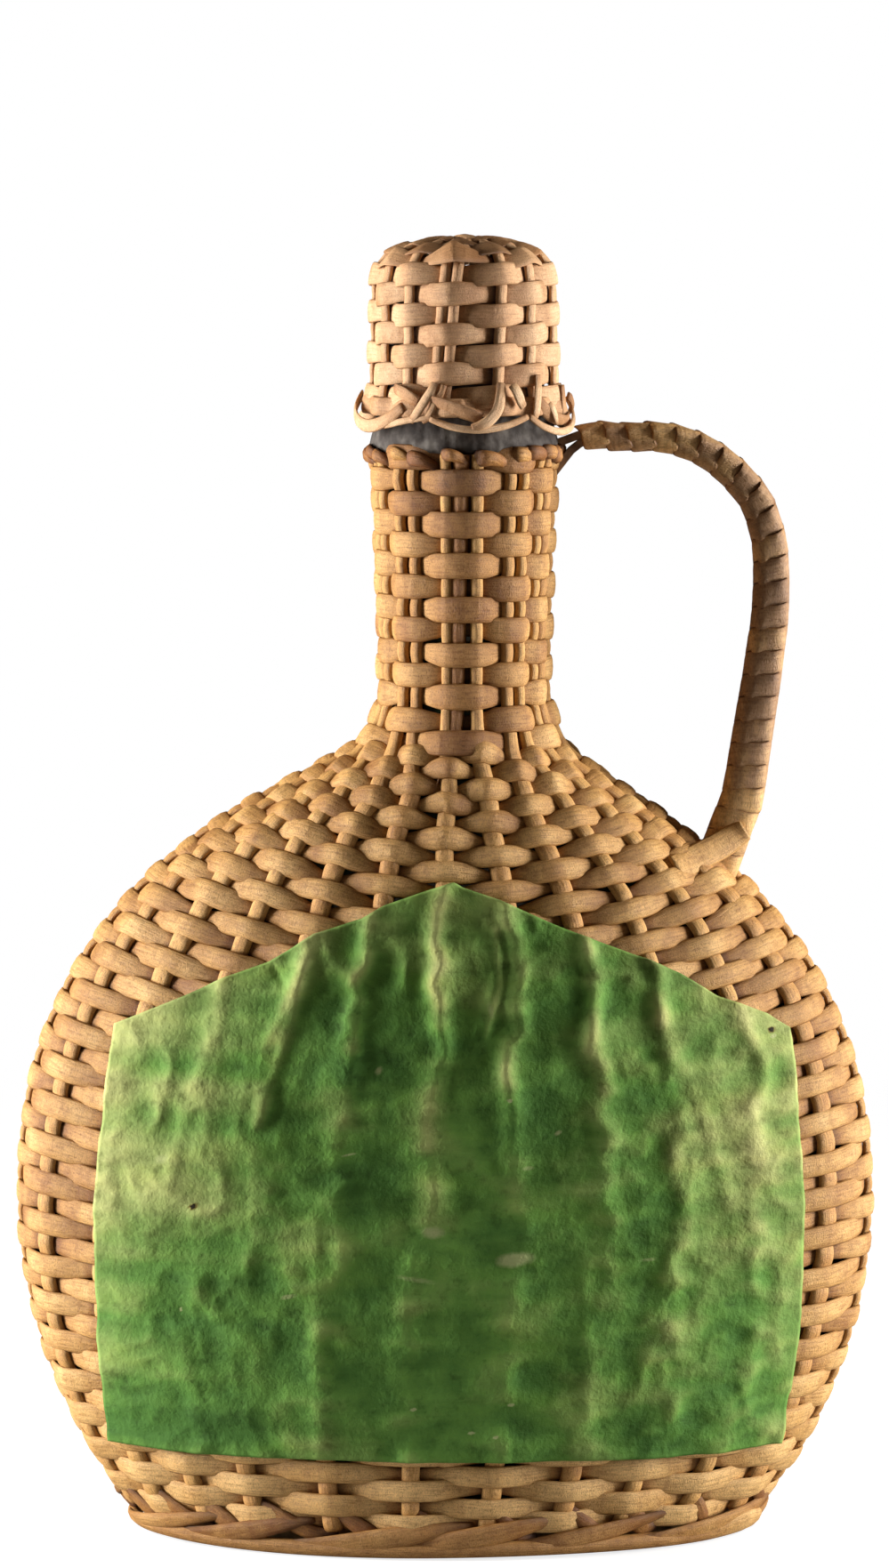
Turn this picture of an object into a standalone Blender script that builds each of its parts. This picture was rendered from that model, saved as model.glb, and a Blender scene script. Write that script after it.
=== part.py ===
"""Wine flask in wicker: a flat oval glass bottle with a woven willow cover, a bound handle, a paper
label, and a woven cap over its cork. Metres, +Z up, the front faces -Y.

Every piece of the cover is placed by its depth under one surface, the envelope, which is the outside
of the weave. The weavers are shells that touch the envelope where they pass outside a stake, the
stakes lie under them, and the glass is inside. The neck has an upright axis of its own, a little to
one side of the body's.
"""

import bpy
import bmesh
import numpy as np

# The gap that touching pieces keep, how far a cutter runs past what it cuts, and the sides of what is
# turned.
clearance = 0.0003
overrun = 0.0040
turned_sides = 30

# The woven body and neck, measured over the weave.
belly_half_width = 0.0885
belly_half_depth = 0.0300
neck_root_height = 0.1730
neck_length = 0.0487
neck_radius = 0.0181
neck_flare = 0.0016
neck_offset = 0.0040

# The body's outline against the height, as shares of the neck's root: half width and half depth, as
# shares of the step from the neck to the belly.
outline_height_shares = (0, 0.1, 0.2, 0.3, 0.4, 0.5, 0.6, 0.7, 0.78, 0.86, 0.91, 0.94, 0.97, 1)
outline_width_shares = (
    0.64, 0.81, 0.92, 0.98, 1, 0.98, 0.916, 0.79, 0.628, 0.385, 0.187, 0.074, 0.025, 0,
)
outline_depth_shares = (0.9, 0.95, 0.98, 1, 1, 0.985, 0.93, 0.82, 0.68, 0.47, 0.3, 0.19, 0.08, 0)

# Between these shares of the root's height the body's middle moves over to the neck's axis.
offset_start_share = 0.84
offset_end_share = 0.985

# Willow: flat skeins for the weavers, split rods for the stakes.
weaver_thickness = 0.0012
stake_thickness = 0.0015
stake_width = 0.0032
stake_neck_width = 0.0022

# The stakes are evenly spaced round the body. Between these shares of the root's height they move over
# to their places on the neck, in 12 uneven pairs, given as shares of the way round.
pairing_start_share = 0.88
pairing_end_share = 0.985
neck_place_shares = (
    -0.034, 0.023, 0.086, 0.116, 0.157, 0.186, 0.235, 0.265, 0.315, 0.3445, 0.3945, 0.424,
    0.474, 0.5035, 0.5535, 0.583, 0.6335, 0.663, 0.713, 0.7425, 0.785, 0.8145, 0.867, 0.9015,
)
stake_count = len(neck_place_shares)

# The stakes lean over to the foot, from this share of the root's height down to it: how far each has
# gone there, as shares of the way round.
lean_start_share = 0.757
foot_lean_shares = (
    -0.022, -0.014, -0.009, -0.010, -0.008, -0.006, -0.004, -0.002, 0, 0, 0, 0,
    0, 0, 0, 0, 0, -0.004, -0.010, -0.017, -0.026, -0.034, -0.039, -0.031,
)

# The form of the weave. Its rows are this share of the neck's root apart. A weaver dips this far where
# it passes inside a stake, and is drawn in this far between stakes, but by no more than a share of the
# space there.
row_pitch_share = 0.025
weave_dip = 0.0006
weave_valley = 0.0014
valley_slope_share = 0.2

# Heights of the weave's rings between the foot, the waist and the neck, as shares of the neck's root,
# and the height of the last row that has a ring of its own on the body.
waist_share = 0.5
lower_level_shares = (0.1, 0.2, 0.3, 0.4)
upper_level_shares = (0.6, 0.69, 0.77, 0.84, 0.89, 0.93, 0.965)
row_top_share = 0.83

# The foot: a bound border that the flask stands on, round an oval mat.
foot_border_height = 0.0050
foot_border_width = 0.0062
foot_edge = 0.0014
mat_lift = 0.0016
mat_thickness = 0.0034

# The border of folded stake ends round the top of the neck, sloped to the glass.
neck_border_height = 0.0034
neck_border_slope = 0.0018
neck_border_edge = 0.0006

# The glass flask: its wall and heel, the ring that the cap rests on, set in from the top of the weave,
# and the finish above it, stepped in from the ring, with its lip and its mouth.
glass_wall = 0.0030
heel_radius = 0.0055
collar_inset = 0.0024
collar_height = 0.0037
finish_step = 0.0023
finish_height = 0.0215
finish_wall = 0.0052
lip_swell = 0.0005
lip_height = 0.0030
lip_edge = 0.0008
mouth_depth = 0.0330
mouth_step = 0.0040

# The foil left round the glass ring and finish, and the cork.
foil_thickness = 0.0004
cork_length = 0.0360
cork_stand = 0.0050
cork_taper = 0.0004
cork_edge = 0.0008

# The woven cap, a loose fit on the finish, with the ribs that it is woven on and the knot where they
# meet.
cap_play = 0.0005
cap_wall_height = 0.0201
cap_crown_height = 0.0112
cap_crown_round_share = 0.67
cap_hem_height = 0.0062
cap_hem_drop = 0.0029
cap_hem_flare = 0.0019
cap_rib_count = 12
cap_rib_width = 0.0023
cap_rib_thickness = 0.0014
cap_knot_radius = 0.0050
crown_turn_shares = (0, 0.1, 0.22, 0.36, 0.52, 0.7, 0.86, 1)

# The handle: two split laths, bound together with skein between the neck and the shoulder. Its foot is
# this far below the neck's root, and its highest part this far above the top of the neck. Its centre
# line is given by how far out it is, as shares of its reach, and how high, as shares of its rise.
handle_foot_drop = 0.0324
handle_top_stand = 0.0031
handle_half_height_top = 0.0026
handle_half_height_foot = 0.0042
handle_half_width_top = 0.0034
handle_half_width_foot = 0.0043
handle_free_start = 0.0055
handle_out_shares = (0, 0.14, 0.29, 0.5, 0.67, 0.78, 0.87, 0.96, 1, 0.993, 0.96, 0.908, 0.866, 0.763)
handle_up_shares = (0.985, 1, 0.997, 0.993, 0.964, 0.927, 0.882, 0.797, 0.679, 0.55, 0.42, 0.248, 0.12, 0)
binding_thickness = 0.0007
binding_edge = 0.0013
lath_width_share = 0.7
lath_split_drop = 0.0042
lath_seat_depth = 0.0008

# The weaver that crosses the front of the handle's foot.
strap_width = 0.0042
strap_thickness = 0.0009
strap_stand = 0.0005

# The paper label: upright sides, this far in from the flask's, a level foot, and a gable, whose eaves
# and peak are these far below the neck's root.
label_thickness = 0.0003
label_stand = 0.0005
label_side_inset = 0.0180
label_foot_height = 0.0210
label_eave_drop = 0.0664
label_peak_drop = 0.0358

# Colours.
WILLOW = (0.60, 0.38, 0.18)
WILLOW_PALE = (0.72, 0.50, 0.30)
WILLOW_DARK = (0.30, 0.19, 0.11)
CORK = (0.55, 0.38, 0.22)
GLASS = (0.05, 0.11, 0.06)
LEAD = (0.16, 0.16, 0.16)
PAPER_GREEN = (0.12, 0.30, 0.09)

# Depths under the envelope of the stakes' two faces and of the glass.
stake_face = weaver_thickness + clearance
stake_bed = stake_face + stake_thickness
glass_depth = stake_bed + clearance

# Radii of the neck's top, and of the glass above it.
neck_top_radius = neck_radius + neck_flare
collar_radius = neck_top_radius - collar_inset
finish_radius = collar_radius - finish_step
lip_radius = finish_radius + lip_swell
mouth_radius = finish_radius - finish_wall

# Heights up the foot and the neck.
weave_foot = foot_border_height + clearance
glass_foot = mat_lift + mat_thickness + clearance
neck_top = neck_root_height + neck_length
border_foot = neck_top + clearance
border_top = border_foot + neck_border_height
collar_foot = border_top + clearance
collar_top = collar_foot + collar_height
lip_top = collar_top + finish_height + lip_height

# The foil lies on the ring's side and shelf, and rises round the finish.
foil_ring_inner = collar_radius + clearance
foil_ring_outer = foil_ring_inner + foil_thickness
foil_finish_inner = lip_radius + clearance
foil_finish_outer = foil_finish_inner + foil_thickness
foil_shelf_foot = collar_top + clearance
foil_shelf_top = foil_shelf_foot + foil_thickness

# The cap's ribs stand on the foil's shelf; its wall, hem and crown are placed from their feet.
rib_foot = foil_shelf_top + clearance
hem_foot = rib_foot - cap_hem_drop
hem_top = hem_foot + cap_hem_height
cap_wall_foot = hem_top + clearance
cap_wall_top = cap_wall_foot + cap_wall_height
crown_foot = cap_wall_top + clearance
cap_top = crown_foot + cap_crown_height
rib_face = weaver_thickness + clearance
rib_bed = rib_face + cap_rib_thickness
cap_radius = foil_finish_outer + cap_play + rib_bed
cap_inner = cap_radius - weaver_thickness

# The handle's foot and rise, and the label's sides and gable.
handle_foot_height = neck_root_height - handle_foot_drop
handle_rise = neck_top + handle_top_stand - handle_foot_height
label_half_width = belly_half_width - label_side_inset
label_eave_height = neck_root_height - label_eave_drop
label_peak_height = neck_root_height - label_peak_drop

lower_levels = [weave_foot]
lower_levels += [neck_root_height * share for share in (*lower_level_shares, waist_share)]
upper_levels = [neck_root_height * waist_share + clearance]
upper_levels += [neck_root_height * share for share in (*upper_level_shares, 1)]
neck_levels = [neck_root_height + clearance, neck_root_height + neck_length / 2, neck_top]
stake_levels = [*lower_levels, *upper_levels[1:], *neck_levels[1:]]

# Heights of the rows of weavers, from the ground to the top of the neck.
row_pitch = neck_root_height * row_pitch_share
row_count = round(neck_top / row_pitch)
row_levels = [row_pitch * row for row in range(row_count)]


def smooth_curve(places, values, wanted):
    """Values of a smooth curve through (places, values): cubic pieces with slopes from the neighbours."""
    places = np.array(places, float)
    values = np.array(values, float)
    slopes = np.gradient(values, places)
    piece = np.clip(np.searchsorted(places, wanted) - 1, 0, len(places) - 2)
    span = places[piece + 1] - places[piece]
    t = (wanted - places[piece]) / span
    start = (2 * t**3 - 3 * t**2 + 1) * values[piece] + (t**3 - 2 * t**2 + t) * span * slopes[piece]
    end = (3 * t**2 - 2 * t**3) * values[piece + 1] + (t**3 - t**2) * span * slopes[piece + 1]
    return start + end


def ease(low, high, value):
    """0 below low, 1 above high, and a smooth rise between."""
    t = np.clip((value - low) / (high - low), 0, 1)
    return t * t * (3 - 2 * t)


def envelope(height):
    """Middle, half width and half depth of the outside of the weave at a height."""
    share = np.clip(height / neck_root_height, 0, 1)
    up_neck = np.clip((height - neck_root_height) / neck_length, 0, 1)
    tube = neck_radius + (neck_top_radius - neck_radius) * up_neck**2
    width_share = smooth_curve(outline_height_shares, outline_width_shares, share)
    depth_share = smooth_curve(outline_height_shares, outline_depth_shares, share)
    half_width = tube + (belly_half_width - neck_radius) * width_share
    half_depth = tube + (belly_half_depth - neck_radius) * depth_share
    middle = neck_offset * ease(offset_start_share, offset_end_share, share)
    return middle, half_width, half_depth


def insets(height, depth):
    """How far in, on the level, a depth under the envelope lies at the sides and at the front."""
    _, half_width, half_depth = envelope(height)
    _, width_above, depth_above = envelope(height + clearance)
    width_inset = depth * np.hypot(1, (width_above - half_width) / clearance)
    depth_inset = depth * np.hypot(1, (depth_above - half_depth) / clearance)
    return width_inset, depth_inset


def way_round(height):
    """The turns from the front towards +X, and the length run from the front to each, at a height."""
    _, half_width, half_depth = envelope(height)
    turns = np.linspace(0, 2 * np.pi, 721)
    x = half_width * np.sin(turns)
    y = half_depth * np.cos(turns)
    run = np.append(0, np.cumsum(np.hypot(np.diff(x), np.diff(y))))
    return turns, run


def turns_at(height, shares):
    """The turns of the points at these shares of the way round at a height."""
    turns, run = way_round(height)
    whole = np.floor(shares)
    return np.interp(shares - whole, run / run[-1], turns) + 2 * np.pi * whole


def under_weave(height, turns, depth):
    """Points a depth under the envelope, square to it, at one height and several turns."""
    step = clearance
    middle, half_width, half_depth = envelope(height)
    above = np.array(envelope(height + step))
    below = np.array(envelope(height - step))
    lean, widening, deepening = (above - below) / (2 * step)
    sine, cosine, level = np.sin(turns), np.cos(turns), np.ones(len(turns))
    point = np.stack([middle + half_width * sine, -half_depth * cosine, height * level], axis=1)
    around = np.stack([half_width * cosine, half_depth * sine, 0 * level], axis=1)
    upwards = np.stack([lean + widening * sine, -deepening * cosine, level], axis=1)
    normal = np.cross(around, upwards)
    return point - depth * normal / np.linalg.norm(normal, axis=1, keepdims=True)


def stake_edges(height):
    """Shares of the way round of both edges of every stake."""
    _, run = way_round(height)
    on_neck = ease(pairing_start_share, pairing_end_share, height / neck_root_height)
    half = (stake_width + (stake_neck_width - stake_width) * on_neck) / 2 / run[-1]
    lean_start = neck_root_height * lean_start_share
    on_foot = np.clip((lean_start - height) / (lean_start - weave_foot), 0, 1)
    even = np.arange(stake_count) / stake_count
    middles = even + on_neck * (np.array(neck_place_shares) - even) + on_foot * np.array(foot_lean_shares)
    return np.column_stack([middles - half, middles + half])


def glass_turns(height):
    """Turns of the glass's corners: at the stakes' edges."""
    return turns_at(height, stake_edges(height).ravel())


def weave_turns(height):
    """Turns of the weave's corners: at the stakes' edges and in the middle of each space between them."""
    edges = stake_edges(height)
    next_left = np.append(edges[1:, 0], edges[0, 0] + 1)
    between = (edges[:, 1] + next_left) / 2
    return turns_at(height, np.column_stack([edges, between]).ravel())


def weave_spaces(height):
    """How far the weave is drawn in at the middle of the space after each stake."""
    edges = stake_edges(height)
    _, run = way_round(height)
    spaces = (np.append(edges[1:, 0], edges[0, 0] + 1) - edges[:, 1]) * run[-1]
    return np.minimum(weave_valley, valley_slope_share * spaces)


def weave_outside(height):
    """A ring of the weave's outside. On the body each row passes outside every second stake, and on the
    neck outside every second pair, with the rows in turn."""
    passed = np.arange(stake_count)
    if height > neck_root_height * pairing_start_share:
        passed = passed // 2
    dips = weave_dip * (1 - np.cos(np.pi * (passed + height / row_pitch))) / 2
    spaces = np.maximum(weave_spaces(height), dips)
    depths = np.column_stack([dips, dips, spaces]).ravel()
    return under_weave(height, weave_turns(height), depths[:, None])


def weave_inside(height):
    """A ring of the weave's inside, level over the stakes and drawn in between them."""
    level = np.zeros(stake_count)
    depths = weaver_thickness + np.column_stack([level, level, weave_spaces(height)]).ravel()
    return under_weave(height, weave_turns(height), depths[:, None])


def material(name, colour, roughness, metallic=0.0):
    """A plain finish."""
    made = bpy.data.materials.new(name)
    made.use_nodes = True
    shader = made.node_tree.nodes["Principled BSDF"]
    shader.inputs["Base Color"].default_value = (*colour, 1)
    shader.inputs["Roughness"].default_value = roughness
    shader.inputs["Metallic"].default_value = metallic
    return made


def solid(name, points, faces, finish, origin=(0, 0, 0)):
    """One named object from points and faces, with its origin placed, its faces turned outwards and its
    edges shaded by their angle."""
    mesh = bpy.data.meshes.new(name)
    mesh.from_pydata(np.array(points) - np.array(origin), [], faces)
    shape = bmesh.new()
    shape.from_mesh(mesh)
    bmesh.ops.recalc_face_normals(shape, faces=shape.faces)
    shape.to_mesh(mesh)
    shape.free()
    mesh.shade_smooth()
    mesh.set_sharp_from_angle(angle=np.radians(40))
    mesh.materials.append(finish)
    made = bpy.data.objects.new(name, mesh)
    made.location = origin
    bpy.context.scene.collection.objects.link(made)
    return made


def loft(name, rings, finish, closed=False, origin=(0, 0, 0)):
    """Rings of as many points each, joined in order. The ends are capped or, when closed, the last ring
    is joined to the first."""
    sides = len(rings[0])
    count = len(rings)
    faces = []
    for i in range(count if closed else count - 1):
        here = i * sides
        there = (i + 1) % count * sides
        for j in range(sides):
            k = (j + 1) % sides
            faces.append((here + j, here + k, there + k, there + j))
    if not closed:
        faces.append(tuple(range(sides)))
        faces.append(tuple(range((count - 1) * sides, count * sides)))
    return solid(name, np.concatenate(rings), faces, finish, origin)


def neck_ring(radius, height, turns):
    """A level ring of points about the neck's axis."""
    level = np.ones(len(turns))
    return np.stack([neck_offset + radius * np.sin(turns), -radius * np.cos(turns), height * level], axis=1)


def turned(name, profile, finish, sides, origin=(0, 0, 0)):
    """A closed outline of (radius, height) points turned about the neck's axis. A radius of zero makes a
    pole."""
    turns = np.linspace(0, 2 * np.pi, sides, endpoint=False)
    points, rows, faces = [], [], []
    for radius, height in profile:
        ring = neck_ring(radius, height, turns if radius > 0 else turns[:1])
        rows.append([len(points) + i % len(ring) for i in range(sides)])
        points.extend(ring)
    for row, after in zip(rows, rows[1:] + rows[:1]):
        for j in range(sides):
            k = (j + 1) % sides
            face = tuple(dict.fromkeys((row[j], row[k], after[k], after[j])))
            if len(face) > 2:
                faces.append(face)
    return solid(name, points, faces, finish, origin)


def cut(piece, cutter):
    """Takes the cutter's shape out of a piece and hides the cutter."""
    cutter.hide_render = True
    cutter.display_type = "WIRE"
    change = piece.modifiers.new("opening", "BOOLEAN")
    change.operation = "DIFFERENCE"
    change.solver = "EXACT"
    change.object = cutter


def outside_levels(levels):
    """Heights of a stretch's outside: its ends, its rows, and between the row top and the neck's root,
    where the stakes close up, its own levels."""
    row_top = neck_root_height * row_top_share
    low, high = levels[0] + row_pitch / 2, levels[-1] - row_pitch / 2
    rows = [height for height in row_levels if low < height < high]
    kept = [height for height in rows if height <= row_top or levels[0] > neck_root_height]
    own = [height for height in levels[1:-1] if row_top < height < neck_root_height]
    return [levels[0], *kept, *own, levels[-1]]


def weave_shell(name, levels, finish):
    """A shell of weavers between two heights."""
    outside = [weave_outside(height) for height in outside_levels(levels)]
    inside = [weave_inside(height) for height in reversed(levels)]
    return loft(name, outside + inside, finish, closed=True)


def stake(number, finish):
    """A split rod under the weavers, from the foot to the top of the neck."""
    rings = []
    for height in stake_levels:
        left, right = turns_at(height, stake_edges(height)[number])
        face = under_weave(height, np.array([left, right]), stake_face)
        bed = under_weave(height, np.array([right, left]), stake_bed)
        rings.append(np.concatenate([face, bed]))
    return loft(f"stake_{number + 1:02d}", rings, finish)


def foot_ring(inward, height):
    """A level oval ring about the body's middle, drawn in from the foot of the weave."""
    _, half_width, half_depth = envelope(weave_foot)
    turns = weave_turns(weave_foot)
    level = np.ones(len(turns))
    x = (half_width - inward) * np.sin(turns)
    y = -(half_depth - inward) * np.cos(turns)
    return np.stack([x, y, height * level], axis=1)


def foot_pieces(finish):
    """The bound border under the weave, flat below, and the oval mat inside it."""
    section = (
        (0, foot_edge),
        (0, foot_border_height - foot_edge),
        (foot_edge, foot_border_height),
        (foot_border_width, foot_border_height),
        (foot_border_width, 0),
        (foot_edge, 0),
    )
    loft("foot_border", [foot_ring(*place) for place in section], finish, closed=True)
    mat_edge = foot_border_width + clearance
    mat = [foot_ring(mat_edge, mat_lift), foot_ring(mat_edge, mat_lift + mat_thickness)]
    loft("base_mat", mat, finish)


def neck_border(finish):
    """The ring of folded stake ends that closes the weave under the glass ring."""
    inner = neck_top_radius - glass_depth + clearance
    profile = (
        (neck_top_radius, border_foot),
        (neck_top_radius, border_foot + neck_border_edge),
        (neck_top_radius - neck_border_slope, border_top),
        (inner, border_top),
        (inner, border_foot),
    )
    return turned("neck_border", profile, finish, 2 * stake_count)


def glass_ring(height, inward):
    """A level ring of the glass low on its outside, drawn in by inward for its rounded heel."""
    _, half_width, half_depth = envelope(height)
    width_inset, depth_inset = insets(height, glass_depth)
    turns = glass_turns(height)
    x = (half_width - width_inset - inward) * np.sin(turns)
    y = -(half_depth - depth_inset - inward) * np.cos(turns)
    return np.stack([x, y, height * np.ones(len(turns))], axis=1)


def glass_flask(finish):
    """The blown flask: up its outside from the base to the lip, and down its inside to the floor."""
    heel_top = glass_foot + heel_radius
    levels = [heel_top, *stake_levels[1:]]
    outside = [under_weave(height, glass_turns(height), glass_depth) for height in levels]
    inside = [under_weave(height, glass_turns(height), glass_depth + glass_wall) for height in levels]
    bends = np.radians((90, 60, 30))
    heel = [
        glass_ring(heel_top - heel_radius * np.sin(bend), heel_radius * (1 - np.cos(bend)))
        for bend in bends
    ]
    floor = glass_ring(glass_foot + glass_wall, heel_radius)
    finish_foot = foil_shelf_foot
    lip_foot = lip_top - lip_height
    finish_profile = (
        (neck_top_radius - glass_depth, border_top),
        (collar_radius, collar_foot),
        (collar_radius, collar_top),
        (finish_radius, finish_foot),
        (finish_radius, lip_foot),
        (lip_radius, lip_foot + lip_edge),
        (lip_radius, lip_top - lip_edge),
        (lip_radius - lip_edge, lip_top),
        (mouth_radius, lip_top),
        (mouth_radius, lip_top - mouth_depth),
    )
    turns = glass_turns(neck_top)
    mouth = [neck_ring(radius, height, turns) for radius, height in finish_profile]
    bore_top = lip_top - mouth_depth - mouth_step
    bore = [ring for ring, height in zip(inside[::2], levels[::2]) if height < bore_top]
    return loft("glass_flask", heel + outside + mouth + bore[::-1] + [floor], finish)


def foil_skirt(finish):
    """The foil round the glass ring and finish, open above where its top was cut away."""
    profile = (
        (foil_ring_outer, collar_foot),
        (foil_ring_outer, foil_shelf_top),
        (foil_finish_outer, foil_shelf_top),
        (foil_finish_outer, lip_top),
        (foil_finish_inner, lip_top),
        (foil_finish_inner, foil_shelf_foot),
        (foil_ring_inner, foil_shelf_foot),
        (foil_ring_inner, collar_foot),
    )
    return turned("foil_skirt", profile, finish, turned_sides)


def cork_stopper(finish):
    """The tapered cork, standing a little out of the mouth."""
    top = lip_top + cork_stand
    foot = top - cork_length
    radius = mouth_radius - clearance
    profile = (
        (0, foot),
        (radius - cork_taper - cork_edge, foot),
        (radius - cork_taper, foot + cork_edge),
        (radius, top - cork_edge),
        (radius - cork_edge, top),
        (0, top),
    )
    return turned("cork_stopper", profile, finish, turned_sides, (neck_offset, 0, lip_top))


def crown_curve(depth, shares):
    """(radius, height) points a depth under the cap's rounded top, at these shares of the quarter turn
    from its rim to its pole."""
    bends = np.array(shares) * np.pi / 2
    radii = (cap_radius - depth) * np.abs(np.cos(bends)) ** cap_crown_round_share
    heights = crown_foot + (cap_crown_height - depth) * np.sin(bends) ** cap_crown_round_share
    radii[bends == np.pi / 2] = 0
    return list(zip(radii, heights))


def cap_pieces(finish):
    """The cap's woven wall, crown and flared hem, the knot under its top, and its ribs."""
    origin = (neck_offset, 0, rib_foot)
    wall = (
        (cap_radius, cap_wall_foot),
        (cap_radius, cap_wall_top),
        (cap_inner, cap_wall_top),
        (cap_inner, cap_wall_foot),
    )
    turned("cap_wall", wall, finish, turned_sides, origin)
    outside = crown_curve(0, crown_turn_shares)
    inside = crown_curve(weaver_thickness, crown_turn_shares)
    turned("cap_crown", outside + inside[::-1], finish, turned_sides, origin)
    hem_inner = foil_ring_outer + clearance
    hem = (
        (cap_radius, hem_top),
        (cap_radius + cap_hem_flare, hem_foot + cap_hem_height / 3),
        (cap_radius + cap_hem_flare - weaver_thickness / 2, hem_foot),
        (hem_inner, hem_foot),
        (hem_inner, hem_top),
    )
    turned("cap_hem", hem, finish, turned_sides, origin)
    knot = (
        (0, cap_top - rib_bed),
        (cap_knot_radius, cap_top - rib_bed),
        (cap_knot_radius, cap_top - rib_face),
        (0, cap_top - rib_face),
    )
    turned("cap_knot", knot, finish, 2 * cap_rib_count, origin)
    first = cap_rib(finish, origin)
    for number in range(1, cap_rib_count):
        copy = bpy.data.objects.new(f"cap_rib_{number + 1:02d}", first.data)
        copy.location = origin
        copy.rotation_euler.z = 2 * np.pi * number / cap_rib_count
        bpy.context.scene.collection.objects.link(copy)


def cap_rib(finish, origin):
    """A rib up the inside of the cap's wall at the front and over to the knot."""
    knot_side = cap_knot_radius + clearance
    on_crown = crown_turn_shares[:-2]
    face = [(cap_radius - rib_face, rib_foot), (cap_radius - rib_face, cap_wall_top)]
    face += crown_curve(rib_face, on_crown)
    face.append((knot_side, cap_top - rib_face - clearance))
    bed = [(cap_radius - rib_bed, rib_foot), (cap_radius - rib_bed, cap_wall_top)]
    bed += crown_curve(rib_bed, on_crown)
    bed.append((knot_side, cap_top - rib_bed))
    half_step = np.pi / cap_rib_count
    rings = []
    for (face_radius, face_height), (bed_radius, bed_height) in zip(face, bed):
        half = min(cap_rib_width / 2, bed_radius * np.tan(half_step) - clearance)
        rings.append(np.array([
            (neck_offset - half, -face_radius, face_height),
            (neck_offset + half, -face_radius, face_height),
            (neck_offset + half, -bed_radius, bed_height),
            (neck_offset - half, -bed_radius, bed_height),
        ]))
    return loft("cap_rib_01", rings, finish, origin=origin)


def handle_reach():
    """How far the handle reaches out from the side of the neck, for its foot to meet the weave."""
    middle, half_width, _ = envelope(handle_foot_height)
    return (middle + half_width - neck_offset - neck_top_radius) / handle_out_shares[-1]


def handle_line(count):
    """Evenly spaced points of the handle's centre line from the neck to the shoulder, and its length."""
    x = neck_offset + neck_top_radius + handle_reach() * np.array(handle_out_shares)
    z = handle_foot_height + handle_rise * np.array(handle_up_shares)
    knots = np.append(0, np.cumsum(np.hypot(np.diff(x), np.diff(z))))
    fine = np.linspace(0, knots[-1], 20 * count)
    line = np.stack([smooth_curve(knots, x, fine), 0 * fine, smooth_curve(knots, z, fine)], axis=1)
    run = np.append(0, np.cumsum(np.linalg.norm(np.diff(line, axis=0), axis=1)))
    wanted = np.linspace(0, run[-1], count)
    return np.stack([np.interp(wanted, run, line[:, i]) for i in range(3)], axis=1), run[-1]


def directions(line):
    """Unit vectors along a line in the plane of X and Z, and square to it, away from the flask."""
    along = np.gradient(line, axis=0)
    along /= np.linalg.norm(along, axis=1, keepdims=True)
    out = np.stack([-along[:, 2], 0 * along[:, 0], along[:, 0]], axis=1)
    return along, out


def is_outside(point, depth):
    """Whether a point lies outside the surface a depth under the envelope."""
    middle, half_width, half_depth = envelope(point[2])
    width_inset, depth_inset = insets(point[2], depth)
    across = (point[0] - middle) / (half_width - width_inset)
    return np.hypot(across, point[1] / (half_depth - depth_inset)) > 1


def run_to_weave(points, direction, depth):
    """Points moved along a direction until they lie a depth under the envelope."""
    moved = []
    search = handle_reach() / 4
    for point in points:
        near, far = -search, search
        for _ in range(40):
            middle = (near + far) / 2
            if is_outside(point + direction * middle, depth):
                near = middle
            else:
                far = middle
        moved.append(point + direction * near)
    return np.array(moved)


def binding_ring(point, out, half_height, half_width, edge):
    """A rectangle with its corners taken off about a point of the handle: half_height outwards,
    half_width along Y."""
    corners = []
    for lift, side in ((1, 1), (-1, 1), (-1, -1), (1, -1)):
        on_face = point + out * lift * half_height + np.array([0, side * (half_width - edge), 0])
        on_side = point + out * lift * (half_height - edge) + np.array([0, side * half_width, 0])
        corners += [on_face, on_side] if lift == side else [on_side, on_face]
    return np.array(corners)


def lath_ring(point, out, half_height, half_width):
    """The four corners of a lath's section."""
    across = np.array([0, half_width, 0])
    return np.array([
        point + out * half_height - across,
        point + out * half_height + across,
        point - out * half_height + across,
        point - out * half_height - across,
    ])


def lath_socket(target, lath, end, along, out, half_height, half_width):
    """A hole with clearance through the weave, where the end of a lath, or of both, is pushed into it."""
    grown = half_height + clearance, half_width + clearance
    rings = [lath_ring(end - along * overrun, out, *grown), lath_ring(end + along * overrun, out, *grown)]
    cutter = loft(f"{lath}_hole_{target}", rings, bpy.data.materials["willow"])
    cut(bpy.data.objects[target], cutter)


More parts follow.
